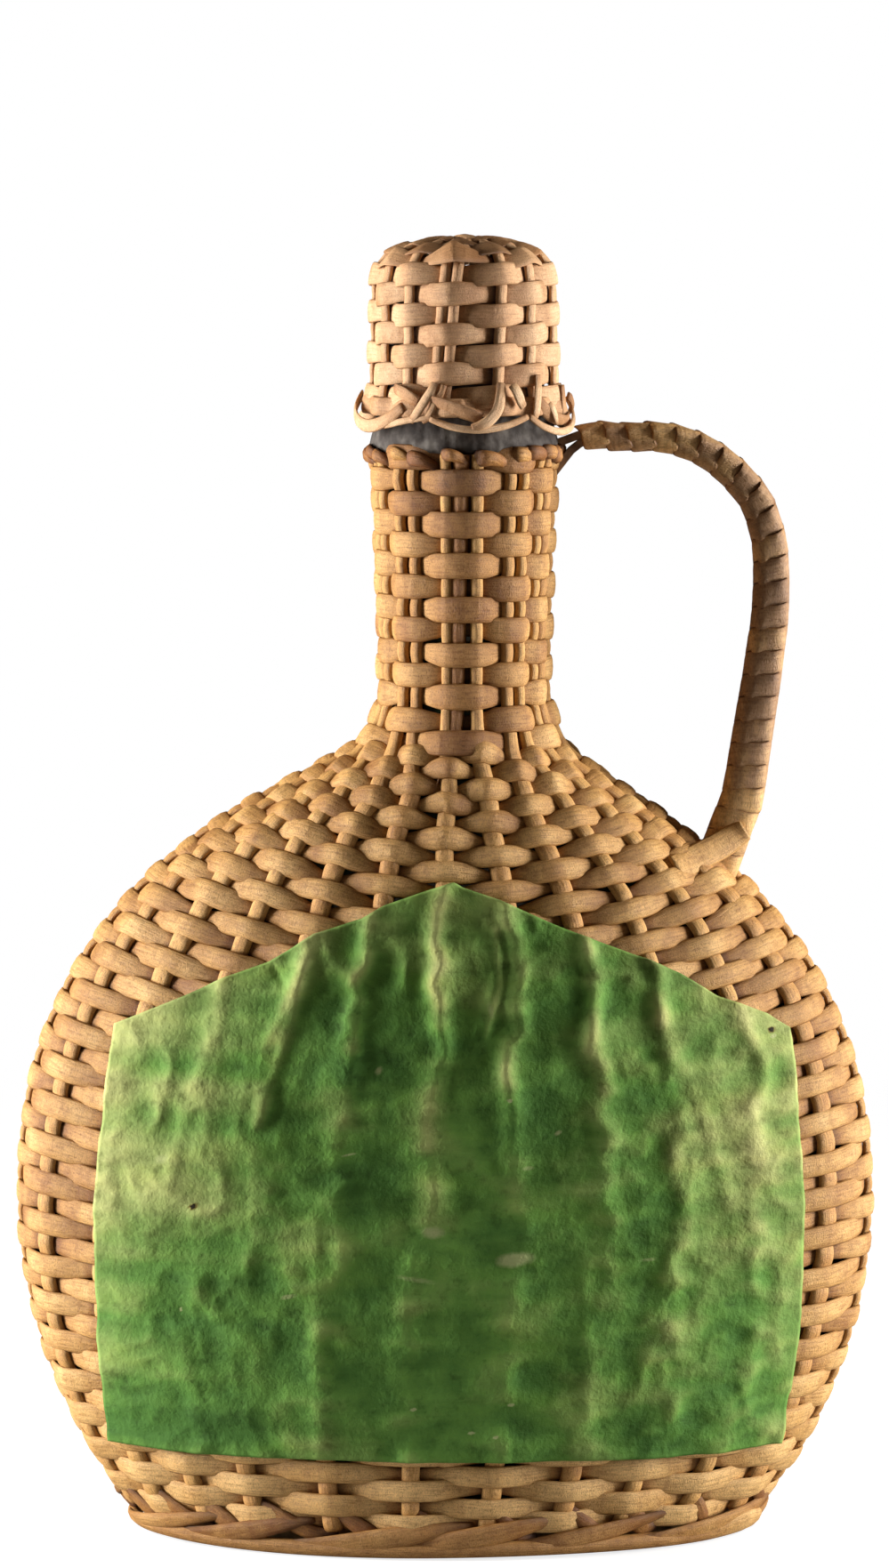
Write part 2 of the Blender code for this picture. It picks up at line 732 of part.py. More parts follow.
def handle_pieces(finish, pale):
    """The laths, the skein bound round them, and the weaver that crosses the handle's foot."""
    line, length = handle_line(22)
    along, out = directions(line)
    share = np.linspace(0, 1, len(line))
    half_height = handle_half_height_top + (handle_half_height_foot - handle_half_height_top) * share
    half_width = handle_half_width_top + (handle_half_width_foot - handle_half_width_top) * share
    free = round(handle_free_start / length * (len(line) - 1))

    bound = range(free, len(line) - 1)
    core_height = half_height - binding_thickness
    core_width = half_width - binding_thickness
    core_edge = binding_edge - binding_thickness / 2
    outer = [binding_ring(line[i], out[i], half_height[i], half_width[i], binding_edge) for i in bound]
    inner = [binding_ring(line[i], out[i], core_height[i], core_width[i], core_edge) for i in bound]
    outer.append(run_to_weave(outer[-1], along[-1], -clearance))
    inner.append(run_to_weave(inner[-1], along[-1], -clearance))
    loft("handle_binding", outer + inner[::-1], finish, closed=True)

    half_lath = (core_height - clearance) / 2 - clearance / 4
    half_lath_width = core_width * lath_width_share
    feet = []
    for name, side, target in (
        ("handle_lath_outer", 1, "neck_border"),
        ("handle_lath_inner", -1, "neck_weave"),
    ):
        middle = line + out * (side * (half_lath + clearance / 2))[:, None]
        rings = [lath_ring(middle[i], out[i], half_lath[i], half_lath_width[i]) for i in bound]
        rings.append(run_to_weave(rings[-1], along[-1], lath_seat_depth))
        feet.append(rings[-1].mean(axis=0))
        head = handle_head(middle[free], side)
        head_along, head_out = directions(head)
        head_size = half_lath[free], half_lath_width[free]
        fore = [lath_ring(head[i], head_out[i], *head_size) for i in range(len(head) - 1)]
        seat = lath_seat_depth + (neck_border_slope if side > 0 else 0)
        fore[0] = run_to_weave(fore[0], -head_along[0], seat)
        lath_socket(target, name, fore[0].mean(axis=0), head_along[0], head_out[0], *head_size)
        loft(name, fore + rings, finish)
    feet_size = 2 * half_lath[-2] + clearance / 2, half_lath_width[-2]
    lath_socket("upper_weave", "handle", np.mean(feet, axis=0), along[-1], out[-2], *feet_size)
    foot_strap(line, along, out, half_height, half_width, pale)


def handle_head(start, side):
    """Points of a lath's free end, from its seat on the neck to the start of the binding. The outer lath
    goes into the border and the inner one into the weave under it."""
    drop = 0 if side > 0 else lath_split_drop
    seat = np.array([neck_offset + neck_top_radius, 0, border_top - neck_border_height / 2 - drop])
    steps = np.linspace(0, 1, 4)
    arch = np.array([0, 0, drop])
    return np.array([seat + (start - seat) * step + arch * step * (1 - step) for step in steps])


def front_bend(point, out, half_height, half_width, edge):
    """Points round the front of the handle, from the middle of its inner face to that of its outer."""
    ring = binding_ring(point, out, half_height, half_width, edge)
    return np.array([point - out * half_height, *ring[4:], point + out * half_height])


def foot_strap(line, along, out, half_height, half_width, finish):
    """A flat weaver bent over the front of the handle's foot, level with the weave under it."""
    edges = []
    for grown in (clearance, clearance + strap_thickness):
        bend = front_bend(line[-1], out[-1], half_height[-1] + grown, half_width[-1] + grown, binding_edge)
        edges.append(run_to_weave(bend, along[-1], -clearance) - along[-1] * strap_stand)
    rise = along[-1] * strap_width
    rings = [np.array([low - rise, low, high, high - rise]) for low, high in zip(*edges)]
    return loft("handle_foot_strap", rings, finish)


def label_column(side, rows):
    """Points up the outside and down the back of the label, at a share of its half width."""
    top = label_peak_height + (label_eave_height - label_peak_height) * abs(side)
    outside, back = [], []
    for height in np.linspace(label_foot_height, top, rows):
        _, half_width, _ = envelope(height)
        turn = np.array([np.arcsin(side * label_half_width / half_width)])
        outside.append(under_weave(height, turn, -label_stand - label_thickness)[0])
        back.append(under_weave(height, turn, -label_stand)[0])
    return np.array(outside + back[::-1])


def paper_label(finish):
    """The label, one sheet bent over the front of the weave, with its two side edges closed."""
    columns, rows = 15, 11
    rings = [label_column(side, rows) for side in np.linspace(-1, 1, columns)]
    sides = 2 * rows
    faces = []
    for i in range(columns - 1):
        here, there = i * sides, (i + 1) * sides
        for j in range(sides):
            k = (j + 1) % sides
            faces.append((here + j, here + k, there + k, there + j))
    for start in (0, (columns - 1) * sides):
        for j in range(rows - 1):
            faces.append((start + j, start + j + 1, start + sides - 2 - j, start + sides - 1 - j))
    return solid("paper_label", np.concatenate(rings), faces, finish)


def main():
    for old in list(bpy.data.objects):
        bpy.data.objects.remove(old)
    willow = material("willow", WILLOW, 0.62)
    pale = material("willow_pale", WILLOW_PALE, 0.6)
    dark = material("willow_dark", WILLOW_DARK, 0.6)
    glass_flask(material("bottle_glass", GLASS, 0.08))
    foil_skirt(material("lead_foil", LEAD, 0.55, 0.6))
    cork_stopper(material("cork", CORK, 0.85))
    foot_pieces(willow)
    weave_shell("lower_weave", lower_levels, willow)
    weave_shell("upper_weave", upper_levels, willow)
    weave_shell("neck_weave", neck_levels, willow)
    neck_border(willow)
    for number in range(stake_count):
        stake(number, willow)
    paper_label(material("green_paper", PAPER_GREEN, 0.8))
    handle_pieces(dark, willow)
    cap_pieces(pale)


main()
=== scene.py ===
import bpy
import numpy as np
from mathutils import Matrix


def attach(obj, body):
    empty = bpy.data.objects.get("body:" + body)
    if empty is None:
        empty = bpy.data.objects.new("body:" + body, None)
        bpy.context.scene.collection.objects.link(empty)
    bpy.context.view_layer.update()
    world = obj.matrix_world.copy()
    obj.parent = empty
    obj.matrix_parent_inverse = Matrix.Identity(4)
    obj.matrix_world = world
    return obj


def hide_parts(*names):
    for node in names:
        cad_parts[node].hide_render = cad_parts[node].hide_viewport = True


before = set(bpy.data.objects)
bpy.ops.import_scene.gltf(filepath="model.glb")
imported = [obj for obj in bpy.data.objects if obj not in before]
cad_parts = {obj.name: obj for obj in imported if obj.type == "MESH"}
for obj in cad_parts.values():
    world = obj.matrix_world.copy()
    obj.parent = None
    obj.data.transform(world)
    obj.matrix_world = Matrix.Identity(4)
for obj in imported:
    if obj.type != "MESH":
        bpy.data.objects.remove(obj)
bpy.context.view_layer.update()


# The bottle: blown dark green glass with an even wall, a rounded heel and a ring below its mouth. It
# stands on the woven mat of the foot and is held all round by the wicker, so only its mouth is ever seen.
def new_finish(name, roughness, **sockets):
    """A material, with plain numbers and colours set on its shader's own sockets."""
    made = bpy.data.materials.new(name)
    made.use_nodes = True
    shader = made.node_tree.nodes["Principled BSDF"]
    shader.inputs["Roughness"].default_value = roughness
    for socket, value in sockets.items():
        shader.inputs[socket.replace("_", " ")].default_value = value
    return made


def add_node(made, kind, sockets, **settings):
    """One node in a material. Each entry of sockets is a plain value for that input, or the output that
    feeds it."""
    node = made.node_tree.nodes.new("ShaderNode" + kind)
    for setting, value in settings.items():
        setattr(node, setting, value)
    for socket, value in sockets.items():
        if isinstance(value, bpy.types.NodeSocket):
            made.node_tree.links.new(value, node.inputs[socket])
        else:
            node.inputs[socket].default_value = value
    return node


def object_place(made):
    """Where each point of a piece lies, in metres."""
    return add_node(made, "TexCoord", {}).outputs["Object"]


def mark_of(made, label):
    """A value that the mesh keeps for each of its points."""
    return add_node(made, "Attribute", {}, attribute_name=label).outputs["Fac"]


def noise(made, place, scale, detail, roughness=0.5):
    """A cloudy value around 0.5, which varies faster with a larger scale."""
    return add_node(made, "TexNoise", {
        "Vector": place, "Scale": scale, "Detail": detail, "Roughness": roughness}).outputs["Fac"]


def work_out(made, operation, *values):
    """The result of one operation on plain values and outputs."""
    return add_node(made, "Math", dict(enumerate(values)), operation=operation).outputs[0]


def colour_steps(made, factor, stops):
    """A colour read from a row of (place, colour) stops."""
    node = add_node(made, "ValToRGB", {"Fac": factor})
    steps = node.color_ramp.elements
    while len(steps) < len(stops):
        steps.new(1)
    for step, (place, colour) in zip(steps, stops):
        step.position = place
        step.color = (*colour, 1)
    return node.outputs["Color"]


def blend_colour(made, kind, factor, first, second):
    """Two colours put together by a blend of this kind. A colour is an output, or red, green, blue and 1."""
    return add_node(made, "Mix", {0: factor, 6: first, 7: second}, data_type="RGBA",
                    blend_type=kind).outputs[2]


def link(made, output, socket):
    """Feeds one of the shader's own sockets."""
    made.node_tree.links.new(output, made.node_tree.nodes["Principled BSDF"].inputs[socket])


def raise_relief(made, height, strength, distance):
    """Lets a height value stand out in relief."""
    bump = add_node(made, "Bump", {"Strength": strength, "Distance": distance, "Height": height})
    link(made, bump.outputs["Normal"], "Normal")


def dress_node(node, finish):
    """Gives a carried-over node its finish."""
    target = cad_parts[node]
    target.data.materials.clear()
    target.data.materials.append(finish)


bottle_glass = new_finish("blown_green_glass", 0.08, IOR=1.5, Transmission_Weight=0.55)
glass_place = object_place(bottle_glass)
link(bottle_glass, colour_steps(bottle_glass, noise(bottle_glass, glass_place, 60.0, 3.0), [
    (0.3, (0.012, 0.030, 0.012)), (0.7, (0.030, 0.065, 0.025))]), "Base Color")
raise_relief(bottle_glass, noise(bottle_glass, glass_place, 180.0, 2.0), strength=0.15, distance=0.0004)
dress_node("glass_flask", bottle_glass)


# The cork: a tapered natural cork pressed into the mouth. What shows of it when the cap is off is its
# top and the 5 mm that stands out of the neck, tan with brown pores.
natural_cork = new_finish("natural_cork", 0.85)
cork_place = object_place(natural_cork)
cork_pores = add_node(natural_cork, "TexVoronoi", {"Vector": cork_place, "Scale": 420.0}).outputs["Distance"]
cork_tan = colour_steps(natural_cork, noise(natural_cork, cork_place, 170.0, 6.0), [
    (0.3, (0.30, 0.17, 0.08)), (0.55, (0.55, 0.36, 0.20)), (0.75, (0.66, 0.47, 0.28))])
cork_dots = colour_steps(natural_cork, cork_pores, [
    (0.06, (0.35, 0.22, 0.14)), (0.2, (1.0, 1.0, 1.0))])
link(natural_cork, blend_colour(natural_cork, "MULTIPLY", 1.0, cork_tan, cork_dots), "Base Color")
raise_relief(natural_cork, cork_pores, strength=0.5, distance=0.0005)
dress_node("cork_stopper", natural_cork)


# The foil: what is left of a dull lead capsule, pressed by hand round the glass ring and up the finish
# inside the cap. It is thin, grey and stained, and full of small creases.
dull_foil = new_finish("dull_lead_foil", 0.75, Metallic=0.1, Specular_IOR_Level=0.25)
foil_place = object_place(dull_foil)
link(dull_foil, colour_steps(dull_foil, noise(dull_foil, foil_place, 260.0, 5.0), [
    (0.3, (0.020, 0.014, 0.011)), (0.5, (0.062, 0.050, 0.042)), (0.72, (0.15, 0.13, 0.11))]), "Base Color")
raise_relief(dull_foil, noise(dull_foil, foil_place, 500.0, 3.0), strength=0.6, distance=0.0004)
neck_offset = 0.0040
foil_radii = np.array([
    17.2, 18.4, 19.0, 18.6, 18.1, 17.8, 17.4, 16.4, 16.1, 16.1, 16.2, 16.3, 15.9, 15.7, 16.1]) / 1000
foil_heights = np.array([
    221.9, 222.1, 223.4, 225.0, 226.9, 229.2, 230.0, 230.4, 234.0, 240.0, 246.0, 252.0, 253.7, 253.5,
    252.0]) / 1000
foil_places, foil_turns = len(foil_radii), 288
last_creased_ring = 10
sheet_thickness = 0.0003


def round_neck(radius, turn, height):
    """Points about the neck's axis: (offset + r sin t, -r cos t, height), with t from the front."""
    radius, turn, height = np.broadcast_arrays(radius, turn, height)
    return np.stack([neck_offset + radius * np.sin(turn), -radius * np.cos(turn), height], axis=-1)


def pressed_foil():
    """A turned sheet: ring i has the radius and height of the profile. Between its rims, the radius at
    turn t is moved by creases of 0.05 sin(23 t + 0.8 i) + 0.05 sin(41 t - 0.6 i) + 0.04 sin(67 t + i)
    millimetres. The height is moved by 0.12 sin(9 t + i) millimetres."""
    turn = 2 * np.pi * np.arange(foil_turns)[None, :] / foil_turns
    ring = np.arange(foil_places)[:, None]
    crease = 0.00005 * np.sin(23 * turn + 0.8 * ring) + 0.00005 * np.sin(41 * turn - 0.6 * ring)
    crease = crease + 0.00004 * np.sin(67 * turn + ring)
    radius = foil_radii[:, None] + crease * (ring > 0) * (ring <= last_creased_ring)
    return round_neck(radius, turn, foil_heights[:, None] + 0.00012 * np.sin(9 * turn + ring))


def sheet_piece(name, points, closed, finish, marks):
    """A thin sheet as one mesh. Each face joins rows r and r + 1 to columns c and c + 1 of the points,
    and the last column to the first where the sheet is closed. The mesh keeps the marks."""
    rows, columns = points.shape[:2]
    r, c = (part.ravel() for part in np.meshgrid(
        np.arange(rows - 1), np.arange(columns if closed else columns - 1), indexing="ij"))
    here, beside = r * columns + c, r * columns + (c + 1) % columns
    faces = np.stack([here, beside, beside + columns, here + columns], axis=1)
    mesh = bpy.data.meshes.new(name)
    mesh.from_pydata(points.reshape(-1, 3), [], faces.tolist())
    for label, values in marks.items():
        mesh.attributes.new(label, "FLOAT", "POINT").data.foreach_set("value", values.ravel())
    mesh.shade_smooth()
    mesh.materials.append(finish)
    piece = bpy.data.objects.new(name, mesh)
    bpy.context.scene.collection.objects.link(piece)
    wall = piece.modifiers.new("wall", "SOLIDIFY")
    wall.thickness = sheet_thickness
    wall.offset = -1
    return piece


foil_piece = sheet_piece("pressed_foil", pressed_foil(), True, dull_foil, {})
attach(foil_piece, "flask")
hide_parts("foil_skirt")


# The stakes: 24 split willow rods that stand round the body and go up the neck, where they close up in
# pairs. Each bends out under the weavers that pass behind it, and shows as a short bit between the
# others. A thicker rod is laid in between the two of the front pair.
belly_half_width = 0.0885
belly_half_depth = 0.0300
neck_root_height = 0.1730
neck_length = 0.0487
neck_radius = 0.0181
neck_top_radius = 0.0197
outline_heights = (0, 0.1, 0.2, 0.3, 0.4, 0.5, 0.6, 0.7, 0.78, 0.86, 0.91, 0.94, 0.97, 1)
outline_widths = (0.64, 0.81, 0.92, 0.98, 1, 0.98, 0.916, 0.79, 0.628, 0.385, 0.187, 0.074, 0.025, 0)
outline_depths = (0.9, 0.95, 0.98, 1, 1, 0.985, 0.93, 0.82, 0.68, 0.47, 0.3, 0.19, 0.08, 0)
weave_foot = 0.0053
neck_top = 0.2217
stake_count = 24
stake_width = 0.0040
stake_neck_width = 0.0025
neck_places = np.array([
    -0.034, 0.023, 0.086, 0.116, 0.157, 0.186, 0.235, 0.265, 0.315, 0.3445, 0.3945, 0.424,
    0.474, 0.5035, 0.5535, 0.583, 0.6335, 0.663, 0.713, 0.7425, 0.785, 0.8145, 0.867, 0.9015])
foot_lean_top = 0.1310
foot_lean = np.array([
    -0.022, -0.014, -0.009, -0.010, -0.008, -0.006, -0.004, -0.002, 0, 0, 0, 0,
    0, 0, 0, 0, 0, -0.004, -0.010, -0.017, -0.026, -0.034, -0.039, -0.031])
rng = np.random.default_rng(11)


def smooth_curve(places, values, wanted):
    """A smooth curve through (places, values): on each stretch the cubic that meets both ends with the
    slope of the neighbours, v = sum of the four Hermite terms in t from 0 to 1."""
    places, values = np.array(places, float), np.array(values, float)
    slopes = np.gradient(values, places)
    piece = np.clip(np.searchsorted(places, wanted) - 1, 0, len(places) - 2)
    span = places[piece + 1] - places[piece]
    t = (wanted - places[piece]) / span
    start = (2 * t**3 - 3 * t**2 + 1) * values[piece] + (t**3 - 2 * t**2 + t) * span * slopes[piece]
    end = (3 * t**2 - 2 * t**3) * values[piece + 1] + (t**3 - t**2) * span * slopes[piece + 1]
    return start + end


def ease(low, high, value):
    """t squared times (3 - 2 t), with t running from 0 at low to 1 at high."""
    t = np.clip((value - low) / (high - low), 0, 1)
    return t * t * (3 - 2 * t)


def oval(height):
    """Middle, half width and half depth of the outside of the weave at a height: the tube of the neck
    plus the body's outline shares times the step from neck to belly."""
    share = np.clip(height / neck_root_height, 0, 1)
    up_neck = np.clip((height - neck_root_height) / neck_length, 0, 1.2)
    tube = neck_radius + (neck_top_radius - neck_radius) * up_neck**2
    widths = smooth_curve(outline_heights, outline_widths, share)
    depths = smooth_curve(outline_heights, outline_depths, share)
    half_width = tube + (belly_half_width - neck_radius) * widths
    half_depth = tube + (belly_half_depth - neck_radius) * depths
    return neck_offset * ease(0.84, 0.985, share), half_width, half_depth


# The turn at each height at which a share of the way round the oval is reached, by length.
turn_steps = 721
table_step = 0.0005
table_heights = np.linspace(0, 0.2300, 461)
table_shares = np.linspace(-0.25, 1.25, 601)
table_turns = np.linspace(0, 2 * np.pi, turn_steps)
_, wide, deep = oval(np.repeat(table_heights[:, None], turn_steps, axis=1))
table_run = np.cumsum(np.hypot(np.diff(wide * np.sin(table_turns), axis=1, prepend=0),
                               np.diff(deep * np.cos(table_turns), axis=1, prepend=deep[:, :1])), axis=1)
table_turn_at = np.array([
    np.interp(table_shares % 1, run / run[-1], table_turns) + 2 * np.pi * np.floor(table_shares)
    for run in table_run])


def on_table(table, rows, columns, row, column):
    """The value between the four nearest entries of a table, weighted by how near each is."""
    i = np.clip((row - rows[0]) / (rows[1] - rows[0]), 0, len(rows) - 1.001)
    j = np.clip((column - columns[0]) / (columns[1] - columns[0]), 0, len(columns) - 1.001)
    i0, j0 = i.astype(int), j.astype(int)
    p, q = i - i0, j - j0
    low = table[i0, j0] * (1 - q) + table[i0, j0 + 1] * q
    high = table[i0 + 1, j0] * (1 - q) + table[i0 + 1, j0 + 1] * q
    return low * (1 - p) + high * p


def unit(vectors):
    """The same directions, each of length 1."""
    return vectors / np.linalg.norm(vectors, axis=-1, keepdims=True)


def on_wicker(height, share, depth):
    """Points a depth under the oval surface, and its outward unit normals. The point is
    (middle + W sin t, -D cos t, height), with t the turn at that share of the way round, moved by the
    depth against the cross product of the directions around and upwards."""
    height, share, depth = np.broadcast_arrays(height, share, depth)
    turn = on_table(table_turn_at, table_heights, table_shares, height, share)
    middle, half_width, half_depth = oval(height)
    near = 0.0005
    above, below = oval(height + near), oval(height - near)
    lean, widening, deepening = ((a - b) / (2 * near) for a, b in zip(above, below))
    sine, cosine, level = np.sin(turn), np.cos(turn), np.ones_like(turn)
    point = np.stack([middle + half_width * sine, -half_depth * cosine, height], axis=-1)
    around = np.stack([half_width * cosine, half_depth * sine, 0 * level], axis=-1)
    upwards = np.stack([lean + widening * sine, -deepening * cosine, level], axis=-1)
    normal = unit(np.cross(around, upwards))
    return point - depth[..., None] * normal, normal


def squared_off(wave, power):
    """A sine or cosine that is pulled towards 1 and -1: its size to a power below 1."""
    return np.sign(wave) * np.abs(wave) ** power


def lay_strips(points, normals, half_width, half_thick, crown, corners, closed):
    """Strips carried along paths. points[r, i] is place i on path r. The section is a flattened ring of
    corners: across by half_width times c, with c a squared-off cosine, and out by half_thick times a
    squared-off sine, less crown times c squared, so that the outer face is domed."""
    if closed:
        along = unit(np.roll(points, -1, axis=1) - np.roll(points, 1, axis=1))
    else:
        along = unit(np.gradient(points, axis=1))
    across = unit(np.cross(normals, along))
    out = np.cross(along, across)
    angle = 2 * np.pi * np.arange(corners) / corners
    c, s = squared_off(np.cos(angle), 0.75), squared_off(np.sin(angle), 0.8)
    shape = np.ones(points.shape[:2])
    half_width, half_thick, crown = (np.asarray(part) * shape for part in (half_width, half_thick, crown))
    side = half_width[..., None] * c
    lift = half_thick[..., None] * s - crown[..., None] * c**2
    return (points[:, :, None] + side[..., None] * across[:, :, None] + lift[..., None] * out[:, :, None])


def run_lengths(points, closed):
    """The length run from the start of each path to each of its places, in centimetres."""
    ahead = np.concatenate([points, points[:, :1]], axis=1) if closed else points
    steps = np.linalg.norm(np.diff(ahead, axis=1), axis=-1)
    return 100 * np.concatenate([np.zeros((len(points), 1)), np.cumsum(steps, axis=1)], axis=1)


def at_edges(corners, power):
    """High at a strip's two edges: the size of the cosine of each corner's angle, to a power."""
    return np.abs(np.cos(2 * np.pi * np.arange(corners) / corners)) ** power


def at_ends(places, power):
    """High at both ends of a strip: the size of cos(pi p), with p from 0 to 1, to a power."""
    return np.abs(np.cos(np.pi * places)) ** power


def wicker_piece(name, points, normals, half_width, half_thick, crown, tone, dirt_and_shade, finish,
                 corners, closed, map_width, start=0):
    """One mesh of strips laid along paths. Each face joins corners j and j + 1 of the section at places i
    and i + 1 of strip r. Its map is the length run, from start, and the way round the section, in
    centimetres, and it keeps for every corner a tone and a mark of dirt and painted shade."""
    grid = lay_strips(points, normals, half_width, half_thick, crown, corners, closed)
    run = run_lengths(points, closed) + start
    strips, places = points.shape[:2]
    r, i, j = (part.ravel() for part in np.meshgrid(
        np.arange(strips), np.arange(places if closed else places - 1), np.arange(corners), indexing="ij"))

    def corner(place, turn):
        return (r * places + place % places) * corners + turn % corners

    faces = np.stack([corner(i, j), corner(i, j + 1), corner(i + 1, j + 1), corner(i + 1, j)], axis=1)
    faces = faces.tolist()
    strip_apart = 7.3
    u = np.stack([run[r, i], run[r, i], run[r, i + 1], run[r, i + 1]], axis=1) + strip_apart * r[:, None]
    v = np.stack([j, j + 1, j + 1, j], axis=1) * (map_width / corners)
    coordinates = np.stack([u, v], axis=-1).reshape(-1, 2)
    if not closed:
        first = np.arange(corners)
        for strip in range(strips):
            foot = strip * places * corners
            faces.append((foot + first[::-1]).tolist())
            faces.append((foot + (places - 1) * corners + first).tolist())
        coordinates = np.concatenate([coordinates, np.zeros((2 * strips * corners, 2))])
    mesh = bpy.data.meshes.new(name)
    mesh.from_pydata(grid.reshape(-1, 3), [], faces)
    mesh.uv_layers.new(name="run").data.foreach_set("uv", coordinates.ravel())
    for label, values in (("tone", tone), ("dirt_and_shade", dirt_and_shade)):
        values = np.broadcast_to(values, grid.shape[:3]).ravel()
        mesh.attributes.new(label, "FLOAT", "POINT").data.foreach_set("value", values)
    mesh.shade_smooth()
    mesh.materials.append(finish)
    piece = bpy.data.objects.new(name, mesh)
    bpy.context.scene.collection.objects.link(piece)
    return piece


def willow_finish(name, deep, middle, pale, blotch, grain=1.0):
    """Split willow. The colour goes from deep to pale by the tone of each bit of strip and by soft clouds
    along it, with fine grain lines, brown blotches, a fine dark speckle, and a darkening where the mark of
    dirt and painted shade is high.
    Grain and speckle stand in relief."""
    made = new_finish(name, 0.5, Specular_IOR_Level=0.35)
    place = add_node(made, "UVMap", {}, uv_map="run").outputs["UV"]
    lengthwise = add_node(made, "Mapping", {"Vector": place, "Scale": (2.4, 46.0, 1.0)}).outputs["Vector"]
    grain_lines = noise(made, lengthwise, 1.0, 6.0, 0.65)
    cloud = noise(made, place, 2.6, 5.0, 0.6)
    blots = noise(made, place, 7.0, 6.0, 0.7)
    speckle = noise(made, place, 42.0, 3.0, 0.7)
    level = work_out(made, "ADD", mark_of(made, "tone"), work_out(made, "MULTIPLY_ADD", cloud, 1.1, -0.55))
    wood = colour_steps(made, level, [(0.05, deep), (0.5, middle), (0.95, pale)])
    lines = colour_steps(made, grain_lines, [
        (0.34, (1 - 0.34 * grain, 1 - 0.42 * grain, 1 - 0.5 * grain)), (0.52, (1.0, 1.0, 1.0)),
        (0.72, (1.1, 1.08, 1.04))])
    wood = blend_colour(made, "MULTIPLY", 1.0, wood, lines)
    stains = colour_steps(made, blots, [(0.5, (0.0, 0.0, 0.0)), (0.68, (1.0, 1.0, 1.0))])
    wood = blend_colour(made, "MIX", work_out(made, "MULTIPLY", stains, 0.5), wood, (*blotch, 1))
    specks = colour_steps(made, speckle, [
        (0.33, (0.42, 0.3, 0.2)), (0.47, (0.95, 0.93, 0.9)), (0.66, (1.12, 1.12, 1.1))])
    wood = blend_colour(made, "MULTIPLY", 0.8 * grain, wood, specks)
    # Painted shade: this mark darkens recesses, seams and the front, on top of some real dirt.
    dirt_and_shade_tint = colour_steps(made, mark_of(made, "dirt_and_shade"), [
        (0.0, (1.0, 1.0, 1.0)), (0.45, (0.68, 0.57, 0.46)), (1.0, (0.13, 0.08, 0.05))])
    link(made, blend_colour(made, "MULTIPLY", 1.0, wood, dirt_and_shade_tint), "Base Color")
    relief = work_out(made, "ADD", work_out(made, "ADD", blots, speckle), grain_lines)
    raise_relief(made, relief, strength=0.5, distance=0.0004)
    return made


stake_willow = willow_finish(
    "stake_willow", (0.34, 0.145, 0.040), (0.60, 0.31, 0.095), (0.74, 0.43, 0.14), (0.26, 0.105, 0.030))


def stake_places(height):
    """Shares of the way round of the stakes' middles at heights: even on the body, moved over to their
    places on the neck from 0.88 to 0.985 of the root's height, and leaning over to the foot."""
    height = np.asarray(height)[..., None]
    on_neck = ease(0.88, 0.985, height / neck_root_height)
    on_foot = np.clip((foot_lean_top - height) / (foot_lean_top - weave_foot), 0, 1)
    even = np.arange(stake_count) / stake_count
    return even + on_neck * (neck_places - even) + on_foot * foot_lean


# Lines that run straight up the body: the height at each fraction of each line's length.
upright_count = 145
up_heights = np.linspace(weave_foot, neck_root_height, 300)
up_shares = np.linspace(0, 1, upright_count)
up_points, _ = on_wicker(up_heights[None, :], up_shares[:, None], 0)
up_run = np.concatenate([np.zeros((upright_count, 1)), np.cumsum(
    np.linalg.norm(np.diff(up_points, axis=1), axis=-1), axis=1)], axis=1)
up_fractions = np.linspace(0, 1, 401)
height_table = np.array([np.interp(up_fractions, run / run[-1], up_heights) for run in up_run])
length_table = up_run[:, -1]


def body_height(fraction, share):
    """The height of the point at a fraction of the way up the body along its own upright line."""
    return on_table(height_table, up_shares, up_fractions, share % 1, np.clip(fraction, 0, 1))


number_heights = np.linspace(0, neck_root_height, 174)
number_shares = np.linspace(-0.1, 1.1, 601)
number_table = np.array([
    np.interp(number_shares, np.concatenate([places[-3:] - 1, places, places[:3] + 1]),
              np.arange(-3, stake_count + 3))
    for places in stake_places(number_heights)])


def stake_number(height, share):
    """Which stake a place is at, running smoothly from one to the next round the body."""
    return on_table(number_table, number_heights, number_shares, height, share)


row_count = 46
top_row_share = 0.945


def row_at(heights, share):
    """Which row of weaving passes at heights on the upright line at this share of the way round."""
    line = height_table[int(round((share % 1) * (upright_count - 1)))]
    return np.interp(heights, line, up_fractions) * row_count / top_row_share - 0.5


stake_samples = 330
low_sample = 60    # a stake's rows are counted along the upright line through this place of it
neck_row_top = 0.2208
neck_row_pitch = 0.0043
stake_bend = 0.00045
body_swing_ends = (0.150, 0.162)
neck_swing_starts = (0.168, 0.174)
stake_heights = np.linspace(weave_foot, neck_top, stake_samples)
stake_share = stake_places(stake_heights).T
stake_level = np.broadcast_to(stake_heights, stake_share.shape)
stake_row = np.array([row_at(stake_heights, places[low_sample]) for places in stake_share])
stake_index = np.arange(stake_count)[:, None]
body_swing = np.cos(np.pi * (stake_row + stake_index))
neck_swing = np.cos(np.pi * ((neck_row_top - stake_level) / neck_row_pitch + 1 + stake_index // 2))
stake_swing = body_swing * (1 - ease(*body_swing_ends, stake_level))
stake_swing = stake_swing + neck_swing * ease(*neck_swing_starts, stake_level)
stake_points, stake_normals = on_wicker(stake_level, stake_share, 0.00180 + stake_bend * stake_swing)
stake_narrowing = ease(0.88, 1.0, stake_level / neck_root_height)
stake_half = (stake_width + (stake_neck_width - stake_width) * stake_narrowing) / 2
stake_half = stake_half * (1 + 0.12 * rng.uniform(-1, 1, (stake_count, 1)))

